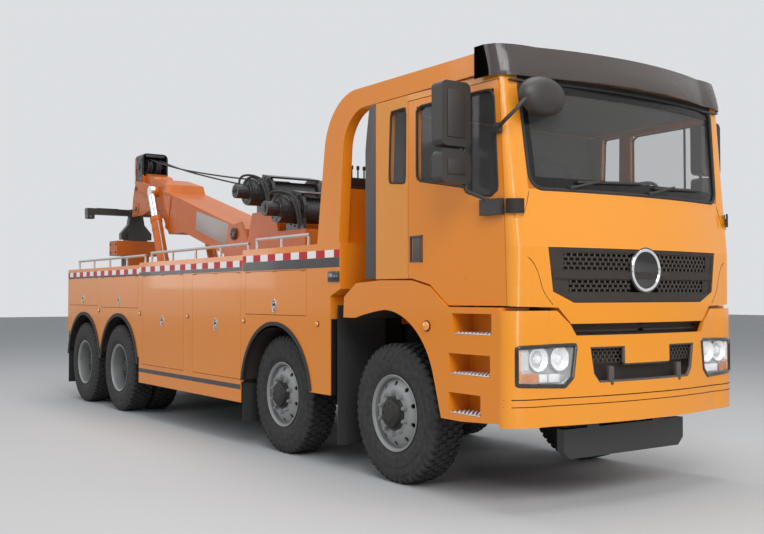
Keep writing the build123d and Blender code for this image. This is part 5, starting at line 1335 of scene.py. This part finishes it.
# %% Mudflaps: moulded ribs across the rubber and a steel bar at the top
FLAPS = ((752, 700, 1200, 215, 1420), (2504.7, 850, 1225, 232, 634), (8190.3, 590, 1225, 225, 1000))
bm, clamps = bmesh.new(), bmesh.new()
for station, x0, x1, low, top in FLAPS:
    for z in spread(low + 60, top - 120, 6):
        box(bm, x0 + 40, x1 - 40, station + 11, station + 16, z, z + 14, 2, 1)
    box(clamps, x0 + 6, x1 - 6, station + 11, station + 18, top - 60, top - 20, 2, 1)
    for x in spread(x0 + 50, x1 - 50, 5):
        bar(clamps, (x, station + 17, top - 40), (x, station + 24, top - 40), 9, sides=6)
both_sides(bm)
both_sides(clamps)
finish_piece("flap_ribs", bm, rubber)
finish_piece("flap_clamps", clamps, gear_grey)

# %% Rails: foot flanges, posts and tubes of stainless steel, each (stations, foot, height, posts)
RAILS = ((1317, 2364, 1960, 2062, 3), (2520, 5154, 1912, 2030, 5), (5335, 7971, 1885, 2008, 5))
RAIL_X = 1150
bm = bmesh.new()
for y0, y1, foot, height, posts in RAILS:
    for y in spread(y0 + 15, y1 - 15, posts):
        bar(bm, (RAIL_X, y, foot), (RAIL_X, y, foot + 8), 30, sides=24, bevel=2)
        bar(bm, (RAIL_X, y, foot + 4), (RAIL_X, y, height), 14, sides=20)
    hose(bm, [(RAIL_X, y0 + 2, height), (RAIL_X, y1 - 2, height)], 17, order=2, resolution=2)
both_sides(bm)
finish_piece("rail_tubes", bm, steel)
print("tail done")

# %% [markdown]
# ## Cab interior
#
# The seats stand for the plain interior solid, with a dashboard, a steering wheel and linings round
# them. They are subdivided cushions with raised bolsters and a woven finish.


# %% Seats
PAD_POWER = 5


def cushion(bm, x0, x1, y0, y1, z0, z1, crown):
    """Padded block: a subdivided box whose faces bulge and whose edges pull in."""
    pad = bmesh.new()
    bmesh.ops.create_cube(pad, size=2)
    bmesh.ops.subdivide_edges(pad, edges=pad.edges[:], cuts=6, use_grid_fill=True)
    centre = Vector(((x0 + x1) / 2, (y0 + y1) / 2, (z0 + z1) / 2))
    half = Vector(((x1 - x0) / 2, (y1 - y0) / 2, (z1 - z0) / 2))
    for vert in pad.verts:
        p = vert.co.copy()
        round_p = p / sum(abs(v) ** PAD_POWER for v in p) ** (1 / PAD_POWER)
        lift = crown * max(0, 1 - round_p.x ** 2) * max(0, 1 - round_p.y ** 2)
        vert.co = centre + Vector((round_p.x * half.x, round_p.y * half.y, round_p.z * (half.z + lift)))
    absorb(bm, pad)


SEAT_X = 600
HIP = Vector((0, -120, 2080))
LEAN = Matrix.Translation(HIP) @ Matrix.Rotation(radians(-11), 4, "X") @ Matrix.Translation(-HIP)
for side, sign in SIDES:
    mid = sign * SEAT_X
    bm = bmesh.new()
    cushion(bm, mid - 235, mid + 235, -640, -120, 1972, 2075, 12)
    for x in (-190, 190):
        cushion(bm, mid + x - 42, mid + x + 42, -635, -130, 1990, 2092, 8)
    back = bmesh.new()
    cushion(back, mid - 225, mid + 225, -190, -90, 2090, 2700, 0)
    for x in (-180, 180):
        cushion(back, mid + x - 40, mid + x + 40, -215, -90, 2110, 2660, 0)
    cushion(back, mid - 130, mid + 130, -175, -105, 2690, 2760, 0)
    bmesh.ops.transform(back, matrix=LEAN, verts=back.verts)
    absorb(bm, back)
    piece = finish_piece(f"seat_{side}", bm, seat_cloth, angle=80)
    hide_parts("cab_interior")
    bm = bmesh.new()
    box(bm, mid - 150, mid + 150, -430, -150, 1676, 1900, 30)
    box(bm, mid - 200, mid + 200, -600, -140, 1890, 1978, 14)
    finish_piece(f"seat_base_{side}", bm, trim)

# %% Linings: rear wall, headliner, floor mats and door cards
bm = bmesh.new()
front_plate(bm, [(-1190, 1690), (1190, 1690), (1190, 2995), (-1190, 2995)], 52, 62, 3)
box(bm, -1150, 1150, -1400, 50, 2998, 3010, 4)
box(bm, -1140, 1140, -1370, -800, 1474, 1481, 2)
box(bm, -1180, 1180, -570, 50, 1677, 1684, 2)
for sign in SIGNS:
    box(bm, sign * 1188, sign * 1196, -318, 48, 1690, 2368, 3)
    box(bm, sign * 1188, sign * 1196, -66, 48, 2368, 2990, 3)
finish_piece("cab_lining", bm, trim)
for side, sign in SIDES:
    bm = bmesh.new()
    side_plate(bm, [(-350, 1655), (-590, 1606), (-785, 1460), (-1375, 1460), (-1355, 2185), (-1250, 2165),
                    (-1015, 2205), (-960, 2255), (-430, 2352), (-350, 2352)], sign * 1148, sign * 1157.5, 3)
    box(bm, sign * 1110, sign * 1150, -900, -450, 2010, 2070, 14)
    finish_piece(f"door_card_{side}", bm, trim, f"cab_door_{side}")

# %% Dashboard, and the steering wheel on the left
bm = bmesh.new()
side_plate(bm, [(-1170, 1476), (-1100, 1880), (-1060, 2090), (-1100, 2150), (-1160, 2196), (-1390, 2182),
                (-1385, 1900), (-1375, 1476)], -1000, 1000, 14)
box(bm, 380, 830, -1240, -1075, 2150, 2245, 30)
box(bm, -250, 300, -1110, -1045, 1800, 2120, 20)
for x in (-800, -420, 420, 800):
    turned(bm, [(-1084, 0.5), (-1084, 40), (-1066, 44), (-1062, 40), (-1062, 0.5)], (x, 0, 2040), "y", 24)
finish_piece("dashboard", bm, trim)


def on_wheel(radius, angle, height):
    """Point about the steering wheel's tilted axis."""
    return WHEEL_TILT @ Vector((radius * cos(angle), radius * sin(angle), height))


bm = bmesh.new()
WHEEL_TILT = Matrix.Translation((SEAT_X, -958, 2296)) @ Matrix.Rotation(radians(-30), 4, "X")
hose(bm, [on_wheel(222, a, 14) for a in spread(0, 2 * pi, 33)], 14, order=2, resolution=2)
for angle in (0, pi, 1.5 * pi):
    bar(bm, on_wheel(40, angle, 4), on_wheel(214, angle, 14), 13, sides=12)
bar(bm, on_wheel(0, 0, -10), on_wheel(0, 0, 22), 62, sides=32, bevel=9)
bar(bm, (SEAT_X, -1110, 2050), on_wheel(0, 0, -6), 34, sides=24)
finish_piece("steering_wheel", bm, gloss_plastic)
print("cab interior done")

# %% [markdown]
# ## Stage
#
# A plain pale floor, a soft key light and a fill from the front, a wide light and a low window from
# the right, and a top light. The camera stands where the photograph was taken and sees the same frame.

# %% Floor
bm = bmesh.new()
bmesh.ops.create_grid(bm, x_segments=8, y_segments=8, size=60)
mesh = bpy.data.meshes.new("floor")
bm.to_mesh(mesh)
bm.free()
floor_finish = grain(finish("floor_finish", (0.47, 0.475, 0.48), 0.7, specular=0.2), 0.9, 0.6, 0.78)
mesh.materials.append(floor_finish)
floor = bpy.data.objects.new("floor", mesh)
floor.location.z = -0.001
bpy.context.collection.objects.link(floor)


# %% Lights
def area_light(name, place, target, size, power, colour=(1, 1, 1), mirrored=True):
    """Soft square light aimed at a point; it may be kept out of reflections."""
    data = bpy.data.lights.new(name, "AREA")
    data.shape = "RECTANGLE"
    data.size, data.size_y = size
    data.energy = power
    data.color = colour
    light = bpy.data.objects.new(name, data)
    light.location = place
    light.rotation_euler = (Vector(target) - Vector(place)).to_track_quat("-Z", "Y").to_euler()
    light.visible_glossy = mirrored
    bpy.context.collection.objects.link(light)


area_light("key", (-6, -15, 10), (0, -4, 1.4), (9, 7), 1340)
area_light("front_fill", (5, -14, 6), (0, -5, 1.5), (7, 6), 300, (1, 0.97, 0.9), mirrored=False)
area_light("streak", (-2.4, -13, 2.6), (0, -5, 2), (0.9, 4.5), 90)
area_light("side_fill", (-15, 4, 9), (0, 0, 1.4), (14, 7), 500)
area_light("side_window", (-8.5, 15, 2.9), (-1.2, 0, 1.4), (3.4, 2.4), 60)
area_light("top", (0, -1, 12), (0, 0, 0), (8, 15), 1000)

# %% World: soft light, and a pale backdrop for what looks past or through the truck
world = bpy.data.worlds.new("studio")
world.use_nodes = True
tree = world.node_tree
sky = tree.nodes["Background"]
sky.inputs["Strength"].default_value = 0.42
sky.inputs["Color"].default_value = (0.86, 0.9, 0.95, 1)
backdrop = tree.nodes.new("ShaderNodeBackground")
backdrop.inputs["Color"].default_value = (0.80, 0.82, 0.84, 1)
backdrop.inputs["Strength"].default_value = 0.9
seen = tree.nodes.new("ShaderNodeLightPath")
mix = tree.nodes.new("ShaderNodeMixShader")
shown = seen.outputs["Is Camera Ray"]
for ray in ("Is Glossy Ray", "Is Transmission Ray"):
    shown = maths(tree, "MAXIMUM", shown, seen.outputs[ray])
tree.links.new(shown, mix.inputs["Fac"])
tree.links.new(sky.outputs["Background"], mix.inputs[1])
tree.links.new(backdrop.outputs["Background"], mix.inputs[2])
tree.links.new(mix.outputs["Shader"], tree.nodes["World Output"].inputs["Surface"])
bpy.context.scene.world = world

# %% Camera at the photograph's place
IMAGE_WIDTH, FOCAL_PIXELS, SHIFT_PIXELS = 764, 970.12, 0.72
SENSOR = 36
camera_data = bpy.data.cameras.new("camera")
camera_data.sensor_width = SENSOR
camera_data.lens = FOCAL_PIXELS / IMAGE_WIDTH * SENSOR
camera_data.shift_y = SHIFT_PIXELS / IMAGE_WIDTH
camera_data.clip_end = 200
camera = bpy.data.objects.new("camera", camera_data)
camera.location = (-5.70467, -10.02386, 1.50488)
camera.rotation_euler = (pi / 2 + 0.0285, 0.0005, -0.6103)
bpy.context.collection.objects.link(camera)
bpy.context.scene.camera = camera
bpy.context.scene.view_settings.view_transform = "Standard"
